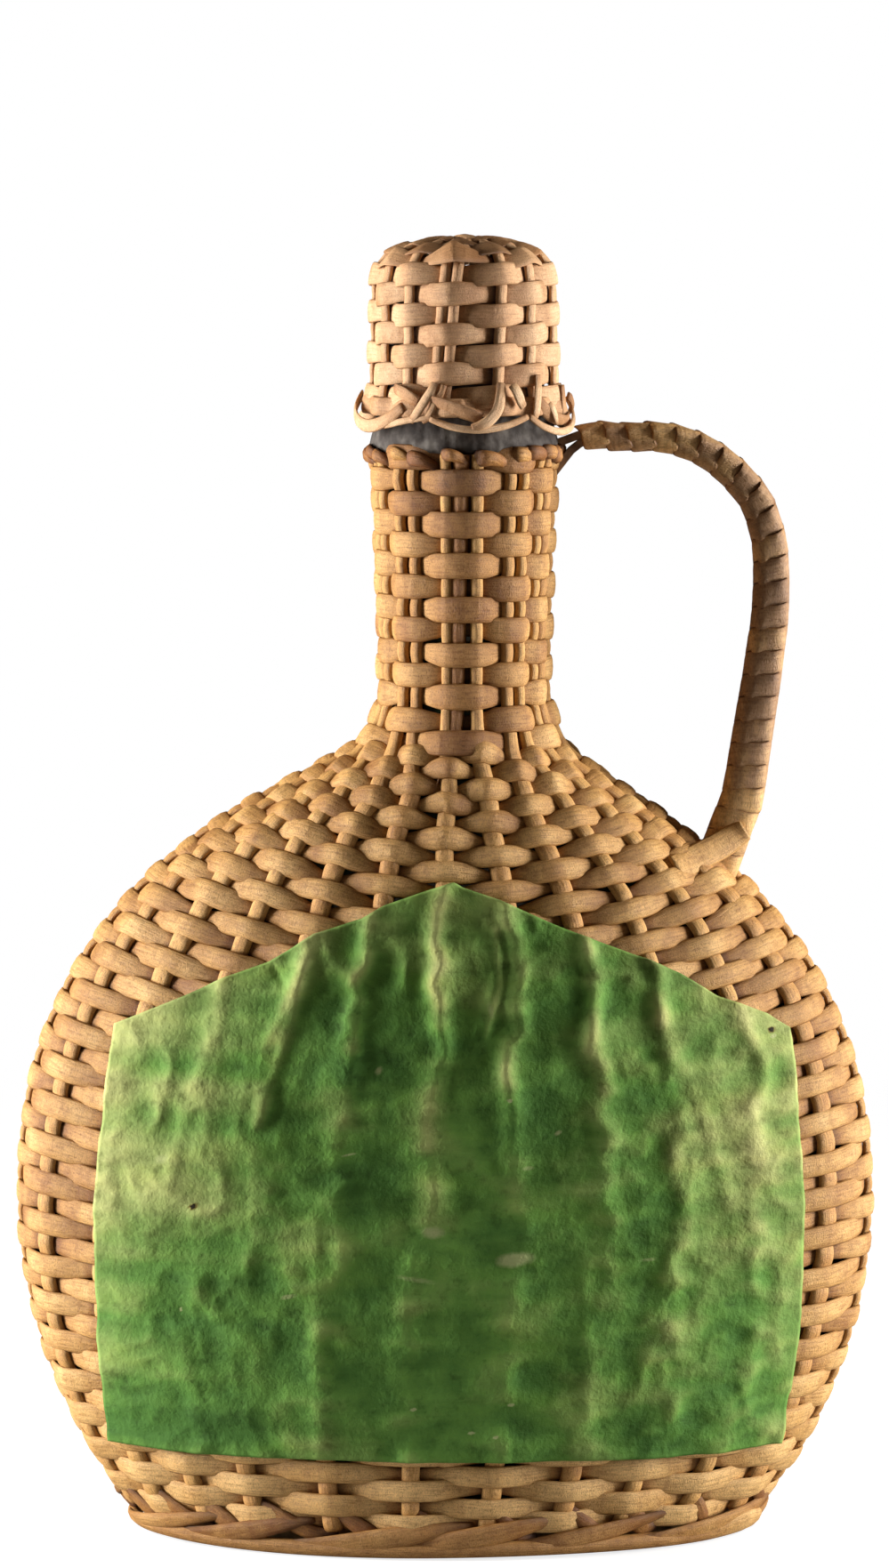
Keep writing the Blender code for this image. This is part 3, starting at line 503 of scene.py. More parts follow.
# The rod that is laid in at the front starts at 156 mm. Its lower places are drawn together there, where
# it has almost no width.
extra_foot = 0.1560
extra_heights = np.maximum(stake_level[:1], extra_foot - 0.00001 * np.arange(stake_samples)[::-1])
extra_share = -0.006 - 0.010 * (neck_top - extra_heights) / neck_length
extra_swing = neck_swing[:1] * ease(*neck_swing_starts, extra_heights)
extra_points, extra_normals = on_wicker(extra_heights, extra_share, 0.0019 + stake_bend * extra_swing)
extra_half = 0.00165 * ease(0.1540, 0.1700, extra_heights)
for number in range(stake_count):
    one = slice(number, number + 1)
    points, normals, half_width = stake_points[one], stake_normals[one], stake_half[one]
    half_thick, crown, tone = 0.00085, 0.00025, rng.uniform(0.5, 1.0)
    if number == 0:
        points, normals = np.concatenate([points, extra_points]), np.concatenate([normals, extra_normals])
        half_width = np.concatenate([half_width, extra_half])
        half_thick, crown = np.array([[0.00085], [0.0008]]), np.array([[0.00025], [0.0003]])
        tone = np.array([0.75, 0.1]).reshape(2, 1, 1)
    rod = wicker_piece(
        f"stake_{number + 1:02d}_rod", points, normals, half_width, half_thick, crown, tone, dirt_and_shade=0.08,
        finish=stake_willow, corners=10, closed=False, map_width=0.9, start=3.1 * number)
    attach(rod, "flask")
    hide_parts(f"stake_{number + 1:02d}")


# The weave of the body: flat split willow weavers, each laid round the flask over one stake and under the
# next, 46 rows from the foot to the neck's root. They are domed, broad over the stakes and drawn in
# between them, where each goes under its neighbours.
row_samples = 360
weaver_depth = 0.00162
weaver_half_thick = 0.00045
waist_height = 0.0865
foot_rows_filled, foot_rows_end = 0.016, 0.050
shoulder_start, shoulder_full = 0.105, 0.145


def smooth_random(steps, at, spread):
    """A random value for each row of at and each step, blended between steps: v = a + (b - a) times the
    ease of the way from one to the next."""
    values = rng.uniform(-spread, spread, (len(at), steps))
    step = np.floor(at).astype(int)
    t = at - step
    t = t * t * (3 - 2 * t)
    row = np.arange(len(at))[:, None]
    return values[row, step % steps] * (1 - t) + values[row, (step + 1) % steps] * t


def zigzag(number):
    """A zigzag with rounded bends: arcsin(0.95 cos(pi n)) over arcsin 0.95."""
    return np.arcsin(0.95 * np.cos(np.pi * number)) / np.arcsin(0.95)


def crossing_random(steps, number, low, high):
    """One random value for each row and for each space between two stakes."""
    values = rng.uniform(low, high, (len(number), steps))
    return values[np.arange(len(number))[:, None], np.floor(number).astype(int) % steps]


def weave_body(rows):
    """Paths and marks of some rows. With n the stake number and r the row, the weaver is outside where
    the zigzag w of n + r is 1 and inside where it is -1: it lies 1.62 mm deep less w times its bend. Its
    width is a share of the pitch that rises from narrow to fullest along an ease of w: soon on the
    sides and late on the shoulder, where each visible bit is a lens that also hangs down at both ends.
    In the lowest rows the bits are filled out: longer, fuller and paler."""
    rows = np.asarray(rows)[:, None]
    share = np.repeat(np.arange(row_samples)[None, :] / row_samples, len(rows), axis=0)
    rough_height = body_height((rows + 0.5) * top_row_share / row_count, share)
    number = stake_number(rough_height, share)
    wave = zigzag(number + rows)
    lens = ease(shoulder_start, shoulder_full, rough_height)
    lens = lens * (0.15 + 0.85 * np.cos(2 * np.pi * share) ** 2)
    filled = 1 - ease(foot_rows_filled, foot_rows_end, rough_height)
    wander = smooth_random(stake_count, number, 0.12) + 0.05 * np.sin(number * 0.9 + rows)
    height = body_height((rows + 0.5 + wander + 0.16 * lens * wave) * top_row_share / row_count, share)
    bend = 0.00098 + 0.00022 * lens + 0.00010 * filled + smooth_random(stake_count, number, 0.0002)
    points, normals = on_wicker(height, share, weaver_depth - bend * wave)
    pitch = np.interp(share, up_shares, length_table) * top_row_share / row_count
    fall_from = crossing_random(stake_count, number, 0.0, 0.6) + 0.35 * lens
    narrow = 0.88 - 0.37 * lens - 0.02 * filled
    fullest = 1.20 + 0.16 * lens + 0.10 * filled
    fall_power = 0.8 + 0.2 * lens - 0.15 * filled
    broad = narrow + (fullest - narrow) * ease(-0.95, fall_from, wave) ** fall_power
    broad = broad + smooth_random(stake_count, number, 0.08)
    crown = (0.00012 + 0.00050 * lens) * np.clip(wave, 0, 1) + 0.00008
    tone = 0.5 + smooth_random(2 * stake_count, 2 * number, 0.26)
    tone = tone + rng.uniform(-0.12, 0.12, (len(rows), 1)) + 0.35 * filled
    # Painted shade: darker where the weaver slopes in and passes under the stakes, and along its edges in the
    # seams between rows; a little lighter on the filled rows of the foot.
    dirt_and_shade = 0.05 + 0.18 * ease(0.7, -0.3, wave) + 0.7 * ease(-0.35, -0.95, wave) - 0.08 * filled
    dirt_and_shade = dirt_and_shade[..., None] + 0.25 * at_edges(10, 6)
    return points, normals, pitch / 2 * broad, weaver_half_thick, crown, tone[..., None], dirt_and_shade


body_willow = willow_finish(
    "woven_willow", (0.39, 0.180, 0.052), (0.68, 0.385, 0.125), (0.84, 0.53, 0.21), (0.31, 0.138, 0.040))
row_heights = body_height((np.arange(row_count) + 0.5) * top_row_share / row_count, 0.0)
waist_row = int(np.searchsorted(row_heights, waist_height))
for name, node, rows in (
    ("lower_weavers", "lower_weave", range(0, waist_row)),
    ("upper_weavers", "upper_weave", range(waist_row, row_count)),
):
    weavers = wicker_piece(name, *weave_body(rows), body_willow, corners=10, closed=True, map_width=0.8)
    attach(weavers, "flask")
    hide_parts(node)


# The weave of the neck: the same weavers going on upwards, but over and under pairs of stakes, so that
# each bit is longer and flat on top.
neck_row_count = 14
neck_samples = 480
pair_count = stake_count // 2


def weave_neck():
    """Paths and marks of the neck's rows, as for the body with pairs in place of stakes. The zigzag is
    level over both stakes of a pair, and the width falls off straight towards w = -0.85, so that each
    visible bit is a long hexagon. The front has painted shade and the top is darker."""
    rows = np.arange(neck_row_count)[:, None]
    share = np.repeat(np.arange(neck_samples)[None, :] / neck_samples, neck_row_count, axis=0)
    wrapped = np.concatenate([neck_places[-4:] - 1, neck_places, neck_places[:4] + 1])
    numbers = np.repeat(np.arange(-2, pair_count + 2), 2) + np.tile([-0.10, 0.10], pair_count + 4)
    number = np.interp(share, wrapped, numbers)
    wave = zigzag(number + rows + 1)
    height = neck_row_top - neck_row_pitch * rows + smooth_random(pair_count, number, 0.0004)
    bend = 0.00120 + smooth_random(pair_count, number, 0.00015)
    points, normals = on_wicker(height, share, weaver_depth - bend * wave)
    fall_from = crossing_random(pair_count, number, 0.0, 0.8)
    falling = np.clip((wave + 0.85) / (fall_from + 0.85), 0, 1)
    broad = 0.74 + 0.46 * falling + smooth_random(pair_count, number, 0.07)
    crown = 0.00010 * np.clip(wave, 0, 1) + 0.00006
    tone = 0.45 + smooth_random(2 * pair_count, 2 * number, 0.28)
    # Painted shade on the front, in the recesses under the pairs and in the seams at the edges; the rows also
    # darken towards the top.
    front_shade = np.clip(np.cos(2 * np.pi * share), 0, 1) ** 3
    dirt_and_shade = 0.05 + 0.5 * ease(-0.3, -0.9, wave) + 0.20 * ease(0.195, 0.222, height) + 0.40 * front_shade
    dirt_and_shade = dirt_and_shade[..., None] + 0.25 * at_edges(12, 6)
    return points, normals, neck_row_pitch / 2 * broad, weaver_half_thick, crown, tone[..., None], dirt_and_shade


neck_weavers = wicker_piece(
    "neck_weavers", *weave_neck(), body_willow, corners=12, closed=True, map_width=0.8)
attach(neck_weavers, "flask")
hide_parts("neck_weave")


# The neck's border: the stakes' own ends, each cut short, bent over to the right and tucked in behind the
# next one, so that they lie round the top of the neck like a row of dark knobs.
border_places = np.linspace(0, 1, 26)
border_reach = 0.048 + 0.010 * rng.uniform(-1, 1, (stake_count, 1))
border_share = neck_places[:, None] - 0.004 + border_reach * border_places
border_height = neck_top - 0.0004 - 0.0017 * border_places**2 + 0.0004 * np.sin(np.pi * border_places)
border_height = border_height + 0.0006 * rng.uniform(-1, 1, (stake_count, 1))
border_depth = 0.0026 - 0.0030 * np.sin(np.pi * border_places**0.7) ** 0.5
points, normals = on_wicker(border_height, border_share, border_depth)
border_half = 0.00150 * (1 + 0.22 * rng.uniform(-1, 1, (stake_count, 1)))
border_half = border_half * (1.0 - 0.45 * border_places**2)
normals[..., 2] += rng.uniform(-0.7, 0.5, (stake_count, 1)) * border_places
tone = rng.uniform(-0.1, 0.6, (stake_count, 1, 1))
pale_ends = [2, 14, 22]
tone[pale_ends] = 0.9
# Painted shade at each end, where it tucks behind the next stake, and along the edges, over a little dirt.
dirt_and_shade = (0.22 + 0.60 * at_ends(border_places, 4))[:, None] + 0.30 * at_edges(10, 2)
border_ends = wicker_piece(
    "border_ends", points, unit(normals), border_half, half_thick=0.00055, crown=0.0004, tone=tone, dirt_and_shade=dirt_and_shade,
    finish=stake_willow, corners=10, closed=False, map_width=0.6)
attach(border_ends, "flask")
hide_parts("neck_border")


# The foot's border: a rod laid along the lowest edge, the lower ends of the stakes, each bent down to the
# right over it, and thirteen split strips that are wound over both and rise to the right.
foot_row_top = 0.0102
rod_places = 240
rod_share = (np.arange(rod_places) / rod_places)[None, :]
# The rod's end shows right of the front, where it is broad and pale, with less of the rod's darkening by dirt
# and painted shade, and stands up a little.
rod_end = np.exp(-((rod_share - 0.215) / 0.022) ** 2)
rod_height = 0.0019 + 0.0002 * np.sin(2 * np.pi * 3 * rod_share) + 0.0016 * rod_end
points, normals = on_wicker(rod_height, rod_share, 0.0004 - 0.0006 * rod_end)
foot_rod = wicker_piece(
    "foot_rod", points, normals, half_width=0.0016 + 0.0012 * rod_end, half_thick=0.0011, crown=0.0003,
    tone=0.45 + 0.4 * rod_end[..., None], dirt_and_shade=0.30 - 0.25 * rod_end[..., None], finish=body_willow,
    corners=12, closed=True, map_width=0.9)

# The stakes' ends fall to the right, and the wound strips rise to the right.
wound_count = 13
twist_count = stake_count + wound_count
twist_places = np.linspace(0, 1, 56)
arch = np.sin(np.pi * twist_places)
is_stake = (np.arange(twist_count) < stake_count)[:, None]
twist_from = np.append(stake_places(foot_row_top), np.arange(wound_count) / wound_count - 0.031)[:, None]
twist_reach = np.where(is_stake, 0.042, 0.118) + 0.014 * rng.uniform(-1, 1, (twist_count, 1))
twist_share = twist_from - 0.004 + twist_reach * twist_places
fall_height = foot_row_top - 0.0002 - 0.0058 * ease(0.0, 0.8, twist_places)
rise_height = 0.0022 + 0.0050 * ease(0.15, 0.95, twist_places) + 0.0005 * np.sin(2 * np.pi * twist_places)
twist_height = np.where(is_stake, fall_height, rise_height)
twist_height = twist_height + 0.0005 * rng.uniform(-1, 1, (twist_count, 1))
twist_depth = np.where(
    is_stake, 0.0021 - 0.0012 * arch, 0.0016 - 0.0020 * arch**0.6 + 0.0003 * twist_places)
points, normals = on_wicker(twist_height, twist_share, twist_depth)
normals[..., 2] += rng.uniform(-0.9, 1.1, (twist_count, 1)) * (twist_places - 0.5)
twist_half = np.where(is_stake, 0.0010 + 0.0008 * arch, 0.0006 + 0.0015 * arch**0.8)
twist_half = twist_half * (1 + 0.18 * rng.uniform(-1, 1, (twist_count, 1)))
tone = (rng.uniform(0.05, 0.5, (twist_count, 1)) + np.where(is_stake, 0, 0.15))[..., None]
# Painted shade and dirt: the stakes' ends, under the wound strips, are darker, and every strip darkens at its
# tucked ends and along its edges.
dirt_and_shade = np.where(is_stake, 0.44, 0.22) + 0.55 * at_ends(twist_places, 3)
dirt_and_shade = dirt_and_shade[..., None] + 0.25 * at_edges(10, 4)
foot_twists = wicker_piece(
    "foot_twists", points, unit(normals), twist_half, half_thick=0.0005, crown=0.0002, tone=tone, dirt_and_shade=dirt_and_shade,
    finish=body_willow, corners=10, closed=False, map_width=0.7)
for piece in (foot_rod, foot_twists):
    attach(piece, "flask")
    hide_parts("foot_border")


# The mat under the glass: an oval of coarse weaving inside the foot's border. It is only seen from below.
mat_willow = new_finish("mat_willow", 0.6)
mat_stretch = add_node(mat_willow, "Mapping", {
    "Vector": object_place(mat_willow), "Scale": (1.0, 6.0, 1.0)}).outputs["Vector"]
mat_grain = noise(mat_willow, mat_stretch, 150.0, 5.0)
link(mat_willow, colour_steps(mat_willow, mat_grain, [
    (0.35, (0.22, 0.12, 0.05)), (0.55, (0.50, 0.31, 0.14)), (0.75, (0.62, 0.42, 0.22))]), "Base Color")
raise_relief(mat_willow, mat_grain, strength=0.5, distance=0.0006)
dress_node("base_mat", mat_willow)


# The label: one sheet of green paper stuck over the front of the weave. It has shrunk on to the stakes,
# which stand up through it as ridges, and its crests are pale, partly rubbed and partly a painted highlight.

# Each edge is given as places along it, in metres, and how far to the side or how high it lies there.
label_left = ((0.020, 0.045, 0.071, 0.098, 0.108), (-0.0681, -0.0699, -0.0703, -0.0676, -0.0664))
label_right = ((0.020, 0.045, 0.071, 0.098, 0.108), (0.0678, 0.0716, 0.0722, 0.0706, 0.0694))
label_bottom = ((-0.068, -0.045, 0, 0.045, 0.068), (0.0212, 0.0208, 0.0206, 0.0203, 0.0209))
label_top = (
    (-0.0665, -0.0515, -0.0441, -0.0347, -0.0256, -0.0160, -0.0118, -0.0034, 0.0019,
     0.0036, 0.0107, 0.0226, 0.0384, 0.0470, 0.0546, 0.0647, 0.0695),
    (0.1074, 0.1141, 0.1177, 0.1213, 0.1269, 0.1302, 0.1327, 0.1357, 0.1373,
     0.1362, 0.1338, 0.1284, 0.1222, 0.1185, 0.1137, 0.1096, 0.1064))
label_columns, label_rows = 248, 190
label_stand = 0.00055
label_low, label_high, label_tall = 0.0205, 0.108, 0.0875
label_half_width = 0.070


def paper_sheet():
    """Heights and turns of the label's points. Place (a, b) runs from left to right and from bottom to
    top between the four edges, and its turn is the arcsine of x over the weave's half width there."""
    across = np.linspace(0, 1, label_columns)[None, :]
    upwards = np.linspace(0, 1, label_rows)[:, None]
    level = label_low + label_tall * upwards
    x = np.interp(level, *label_left) * (1 - across) + np.interp(level, *label_right) * across
    top, bottom = np.interp(x, *label_top), np.interp(x, *label_bottom)
    height = bottom + (top - bottom) * upwards
    level = np.clip(height, label_low, label_high)
    x = np.interp(level, *label_left) * (1 - across) + np.interp(level, *label_right) * across
    middle, half_width, _ = oval(height)
    return height, np.arcsin(np.clip((x - middle) / half_width, -1, 1))


label_height, label_turn = paper_sheet()
label_share = np.array([
    np.interp(turns, table_turn_at[int(round(row.mean() / table_step))], table_shares)
    for row, turns in zip(label_height, label_turn)])
label_number = stake_number(label_height, label_share)
soft_values = rng.uniform(-1, 1, (stake_count + 8, 30))


def soft_field(u, v):
    """A smooth random field over u and v: the table of soft values, eased between its entries."""
    i, j = np.floor(u).astype(int), np.floor(v).astype(int)
    p, q = u - i, v - j
    p, q = p * p * (3 - 2 * p), q * q * (3 - 2 * q)
    rows, columns = soft_values.shape
    i, i_next, j, j_next = i % rows, (i + 1) % rows, j % columns, (j + 1) % columns
    low = soft_values[i, j] * (1 - p) + soft_values[i_next, j] * p
    high = soft_values[i, j_next] * (1 - p) + soft_values[i_next, j_next] * p
    return low * (1 - q) + high * q


def line_distance(corners):
    """How far each place of the label is from a line through these (x, z) corners in millimetres: the
    smallest distance to any of its stretches."""
    corners = np.array(corners) / 1000
    start, step = corners[:-1], np.diff(corners, axis=0)
    apart = label_place[None] - start[:, None, None]
    long_squared = (step**2).sum(axis=-1)[:, None, None]
    way = np.clip((apart * step[:, None, None]).sum(axis=-1) / long_squared, 0, 1)
    return np.linalg.norm(apart - way[..., None] * step[:, None, None], axis=-1).min(axis=0)


def patch(x, z, half_long, half_tall, tilt):
    """A soft worn patch: 1 in its middle, falling to 0 at the edge of a tilted oval, in millimetres."""
    away = 1000 * label_place - np.array([x, z])
    along = away[..., 0] * np.cos(tilt) + away[..., 1] * np.sin(tilt)
    over = away[..., 1] * np.cos(tilt) - away[..., 0] * np.sin(tilt)
    return np.clip(1 - (along / half_long) ** 2 - (over / half_tall) ** 2, 0, 1)


label_place = np.stack([oval(label_height)[1] * np.sin(label_turn), label_height], axis=-1)

# The folds that the photograph shows: half width and height in millimetres, and the corners of the line.
fold_table = (
    (1.5, 0.50, [(-25.1, 128.1), (-30.1, 109.9), (-35.2, 94.9), (-37.0, 89.2)]),
    (1.9, 0.45, [(-44.1, 119.6), (-45.0, 108.3), (-51.1, 91.9), (-55.1, 75.3)]),
    (0.7, -0.35, [(-37.8, 121.5), (-34.2, 120.6), (-31.8, 116.7)]),
    (1.6, 0.40, [(28.5, 118.0), (29.5, 107.0), (33.0, 96.0)]),
    (1.9, 0.42, [(42.5, 113.0), (46.0, 104.0), (50.5, 92.0), (56.0, 76.0), (58.5, 62.0)]),
    (0.6, -0.30, [(27.0, 119.5), (31.5, 116.5), (36.0, 118.0)]),
    (0.7, 0.30, [(10.0, 128.0), (11.0, 117.0), (8.0, 107.0)]),
    (1.8, 0.30, [(-52.0, 44.0), (-50.0, 30.0), (-49.0, 21.5)]),
    (1.6, 0.22, [(-25.5, 70.0), (-25.0, 45.0), (-25.2, 21.0)]),
    (1.6, 0.22, [(28.0, 60.0), (28.0, 40.0), (29.5, 21.0)]),
    (1.8, 0.28, [(45.5, 62.0), (46.5, 40.0), (46.0, 21.0)]),
    (1.8, 0.30, [(61.0, 70.0), (62.5, 45.0), (60.0, 24.0)]),
)


def crumpled(x, height, number):
    """How far the paper rises at each place, and how pale it is there, from 0, fresh green, to 1, pale with
    wear and painted highlight. A ridge stands over each stake, the fifth power of a raised cosine of the
    stake number, and it sways and swells. Low pads show where the weavers pass between the stakes, a cosine
    of the number times one of the height. Soft crumples, fine ones and long creases, each 0.5 less the size
    of a soft field, go over all of it. Each fold is a bell across its line. The paper is most aged at its
    sides and its top, and on its folds; its ridges and their crests are paler from rubbing and from a
    painted highlight."""
    edge = np.abs(x) / label_half_width
    strength = 0.30 + 0.70 * ease(0.055, 0.115, height)
    sway = 0.13 * soft_field(number, height * 70) + 0.09 * soft_field(number * 2, height * 230)
    ridge = (0.5 + 0.5 * np.cos(2 * np.pi * (number + sway))) ** 5
    swell = 0.5 + 0.5 * soft_field(height * 160, number * 1.1)
    crumple = soft_field(height * 210, number * 2.3 + 5)
    fine = soft_field(height * 420 + 3, number * 4.1 + 2)
    pads = np.cos(np.pi * (number + 0.12 * crumple)) * np.cos(
        np.pi * (height - weave_foot) / 0.0040 + 1.2 * crumple)
    pads = np.clip(pads, 0, 1) * (1 - 0.6 * strength)
    creased = 0.5 - np.abs(soft_field(height * 105 + x * 60 + 7, x * 120 - height * 30 + 33))
    creased = creased + 0.5 * (0.5 - np.abs(soft_field(
        height * 230 - x * 90 + 30, x * 210 + height * 60 + 51)))
    rough = np.maximum(ease(0.35, 0.75, edge), ease(0.090, 0.120, height))
    rise = 0.0009 * ridge * strength * (0.5 + 0.9 * swell) + 0.0006 * swell
    rise = rise + 0.00022 * crumple + 0.00010 * fine
    rise = rise + creased * (0.00025 + 0.00040 * rough) + 0.00034 * pads
    folds = np.zeros_like(height)
    for width, lift, corners in fold_table:
        near = np.exp(-(line_distance(corners) / (width / 1000)) ** 2)
        rise = rise + lift / 1000 * near
        folds = folds + near * np.clip(lift * 3, 0, 1)
    crest_wear_and_highlight = np.exp(-(((number + sway + 0.5) % 1 - 0.5) / 0.10) ** 2)
    age_and_highlight = 0.16 + 0.40 * ease(0.35, 0.95, edge) * ease(0.035, 0.100, height)
    age_and_highlight = age_and_highlight + 0.22 * ease(0.105, 0.130, height) + 0.16 * ease(0.80, 1.0, edge)
    # Painted highlight, on top of rubbed wear: the ridges and their crest lines are made paler.
    age_and_highlight = age_and_highlight + 0.14 * strength * (ridge - 0.3) + 0.22 * folds * strength
    age_and_highlight = age_and_highlight + 0.34 * crest_wear_and_highlight * strength * np.clip(0.3 + crumple, 0, 1)
    age_and_highlight = age_and_highlight + 0.08 * crumple + 0.10 * fine * (0.3 + edge)
    age_and_highlight = age_and_highlight + 0.16 * (creased - 0.3) * (0.4 + edge)
    age_and_highlight = age_and_highlight + 0.20 * soft_field(number * 1.6, height * 45) * (0.4 + 0.6 * edge)
    age_and_highlight = age_and_highlight + 0.12 * soft_field(number * 1.1 + 9, height * 150)
    return rise, age_and_highlight + 0.12 * pads


label_rise, label_age_and_highlight = crumpled(label_place[..., 0], label_height, label_number)
label_sheet, _ = on_wicker(label_height, label_share, -label_stand - np.maximum(label_rise, -0.0001))

# The worn patches, each with how worn it is, and the two pin holes.
worn_patches = (
    ((14.0, 62.0, 5.6, 2.3, 0.12), 0.95), ((-2.2, 67.6, 3.8, 2.0, 0.0), 0.8),
    ((-5.5, 58.0, 6.5, 1.1, -0.15), 0.7), ((-31.0, 54.2, 3.0, 0.9, 0.25), 0.8),
    ((16.5, 80.5, 2.2, 0.9, 0.1), 0.7), ((22.5, 87.5, 1.5, 0.8, 0.5), 0.8),
    ((40.5, 61.5, 3.4, 0.7, 0.05), 0.7), ((-56.3, 81.3, 2.6, 1.6, 0.4), 0.7),
    ((-18.3, 83.1, 3.2, 0.4, 0.1), 0.9), ((-6.1, 31.6, 0.9, 0.5, 0.3), 1.6),
    ((13.4, 32.5, 1.2, 0.35, 0.1), 1.6), ((5.5, 26.5, 1.2, 0.3, -0.1), 1.6),
    ((10.2, 25.8, 0.8, 0.35, 0.0), 1.6), ((-52.6, 50.6, 0.5, 0.5, 0.0), 1.6),
    ((12.9, 94.3, 0.7, 0.5, 0.2), 1.8), ((-13.0, 100.0, 1.6, 1.2, 0.9), 0.8),
    ((66.0, 105.0, 1.0, 0.6, 0.3), 1.4), ((9.0, 112.0, 1.2, 3.0, 0.2), 0.6),
)
label_wear = np.max([much * patch(*place) for place, much in worn_patches], axis=0)
label_hole = np.maximum(patch(-50.0, 71.9, 0.8, 0.6, 0.3), patch(65.6, 106.3, 0.9, 0.5, 0.2))

green_paper = new_finish("green_paper", 0.75, Specular_IOR_Level=0.2)
paper_place = object_place(green_paper)
paper_flat = add_node(green_paper, "Mapping", {
    "Vector": paper_place, "Scale": (1.0, 1.0, 3.4)}).outputs["Vector"]
paper_cloud = noise(green_paper, paper_place, 60.0, 7.0, 0.6)
paper_wear = noise(green_paper, paper_place, 230.0, 6.0, 0.72)
paper_streak = noise(green_paper, paper_flat, 48.0, 4.0, 0.6)
paper_level = work_out(green_paper, "MULTIPLY_ADD", paper_cloud, 0.75, -0.375)
paper_level = work_out(green_paper, "ADD", paper_level, mark_of(green_paper, "age_and_highlight"))
paper_green = colour_steps(green_paper, paper_level, [
    (0.0, (0.070, 0.180, 0.030)), (0.20, (0.125, 0.275, 0.048)), (0.45, (0.235, 0.350, 0.088)),
    (0.72, (0.400, 0.450, 0.150)), (1.0, (0.56, 0.56, 0.22))])
paper_shade = colour_steps(green_paper, paper_streak, [
    (0.32, (0.62, 0.66, 0.56)), (0.50, (1.0, 1.0, 1.0)), (0.70, (1.16, 1.12, 1.0))])
paper_green = blend_colour(green_paper, "MULTIPLY", 0.8, paper_green, paper_shade)
paper_speck = colour_steps(green_paper, paper_wear, [
    (0.33, (0.50, 0.50, 0.40)), (0.46, (0.96, 0.96, 0.94)), (0.68, (1.14, 1.12, 1.06))])
paper_green = blend_colour(green_paper, "MULTIPLY", 0.8, paper_green, paper_speck)
paper_worn = mark_of(green_paper, "wear")
worn = work_out(green_paper, "MULTIPLY_ADD", paper_wear, 1.8, -0.75)
worn = work_out(green_paper, "ADD", worn, paper_worn)
worn = work_out(green_paper, "MULTIPLY", worn, paper_worn)
worn = colour_steps(green_paper, worn, [(0.18, (0.0, 0.0, 0.0)), (0.75, (1.0, 1.0, 1.0))])
worn = work_out(green_paper, "MULTIPLY", worn, 0.75)
paper_green = blend_colour(green_paper, "MIX", worn, paper_green, (0.46, 0.48, 0.22, 1))
# The pin holes are painted on: a brown torn rim round a near-black middle of painted shade.
hole_rim_and_shade = colour_steps(green_paper, mark_of(green_paper, "hole"), [
    (0.0, (1.0, 1.0, 1.0)), (0.25, (0.55, 0.40, 0.28)), (0.5, (0.05, 0.03, 0.02))])
link(green_paper, blend_colour(green_paper, "MULTIPLY", 1.0, paper_green, hole_rim_and_shade), "Base Color")
paper_relief = work_out(green_paper, "MULTIPLY", paper_wear, 2.4)
paper_fibre = noise(green_paper, paper_place, 900.0, 3.0)
paper_relief = work_out(green_paper, "ADD", paper_relief, paper_fibre)
raise_relief(green_paper, paper_relief, strength=0.4, distance=0.0004)
label_piece = sheet_piece("green_label", label_sheet, False, green_paper, {
    "age_and_highlight": label_age_and_highlight, "wear": label_wear, "hole": label_hole})
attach(label_piece, "flask")
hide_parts("paper_label")


# The handle: two split laths side by side. They part at the neck, where one goes into the border and the
# other into the weave under it, and both end in the weave of the shoulder.
lath_willow = new_finish("lath_willow", 0.6)
link(lath_willow, colour_steps(lath_willow, noise(lath_willow, object_place(lath_willow), 400.0, 5.0), [
    (0.35, (0.10, 0.055, 0.03)), (0.6, (0.28, 0.17, 0.09))]), "Base Color")
for node in ("handle_lath_outer", "handle_lath_inner"):
    dress_node(node, lath_willow)


# The handle's binding: one long willow skein wound round both laths from near the neck to the shoulder,
# each turn lapping the one before. Handling has turned it brown.
handle_x = np.array([
    25.2, 29.7, 36.0, 45.0, 52.2, 56.7, 60.5, 63.1, 64.5, 65.5, 66.1, 66.1, 65.8, 65.1, 64.4, 63.3, 62.2,
    61.1, 60.4, 59.0, 56.7, 55.2]) / 1000
handle_z = np.array([
    223.6, 224.8, 224.6, 224.3, 221.8, 218.7, 214.9, 211.3, 207.7, 204.1, 197.8, 192.4, 187.0, 181.6,
    176.1, 168.9, 161.6, 154.3, 150.7, 147.0, 140.6, 136.6]) / 1000
knots = np.append(0, np.cumsum(np.hypot(np.diff(handle_x), np.diff(handle_z))))
skein_pitch = 0.0047
skein_start = 0.0040
skein_turns = (knots[-1] - skein_start) / skein_pitch
places_in_turn = 32
turned = np.linspace(0, skein_turns, int(places_in_turn * skein_turns))
handle_run = skein_start + skein_pitch * turned
handle_along = handle_run / knots[-1]


def curve_step(places, values, wanted, near):
    """How much a smooth curve changes from a little before the wanted places to a little after them."""
    ahead = np.minimum(wanted + near, places[-1])
    return smooth_curve(places, values, ahead) - smooth_curve(places, values, wanted - near)


line_x, line_z = smooth_curve(knots, handle_x, handle_run), smooth_curve(knots, handle_z, handle_run)
slope_x = curve_step(knots, handle_x, handle_run, 0.0004)
slope_z = curve_step(knots, handle_z, handle_run, 0.0004)
slope = np.hypot(slope_x, slope_z)
out_x, out_z = -slope_z / slope, slope_x / slope
half_in = 0.0023 + 0.0019 * handle_along**0.8
half_across = 0.0033 + 0.0008 * handle_along
round_in = squared_off(np.cos(2 * np.pi * turned), 0.55)
round_across = squared_off(np.sin(2 * np.pi * turned), 0.55)
points = np.stack([
    line_x + out_x * half_in * round_in, -half_across * round_across, line_z + out_z * half_in * round_in],
    axis=-1)
lean = 0.035
normals = np.stack([
    out_x * round_in / half_in + lean * slope_x / slope / half_in, -round_across / half_across,
    out_z * round_in / half_in + lean * slope_z / slope / half_in], axis=-1)
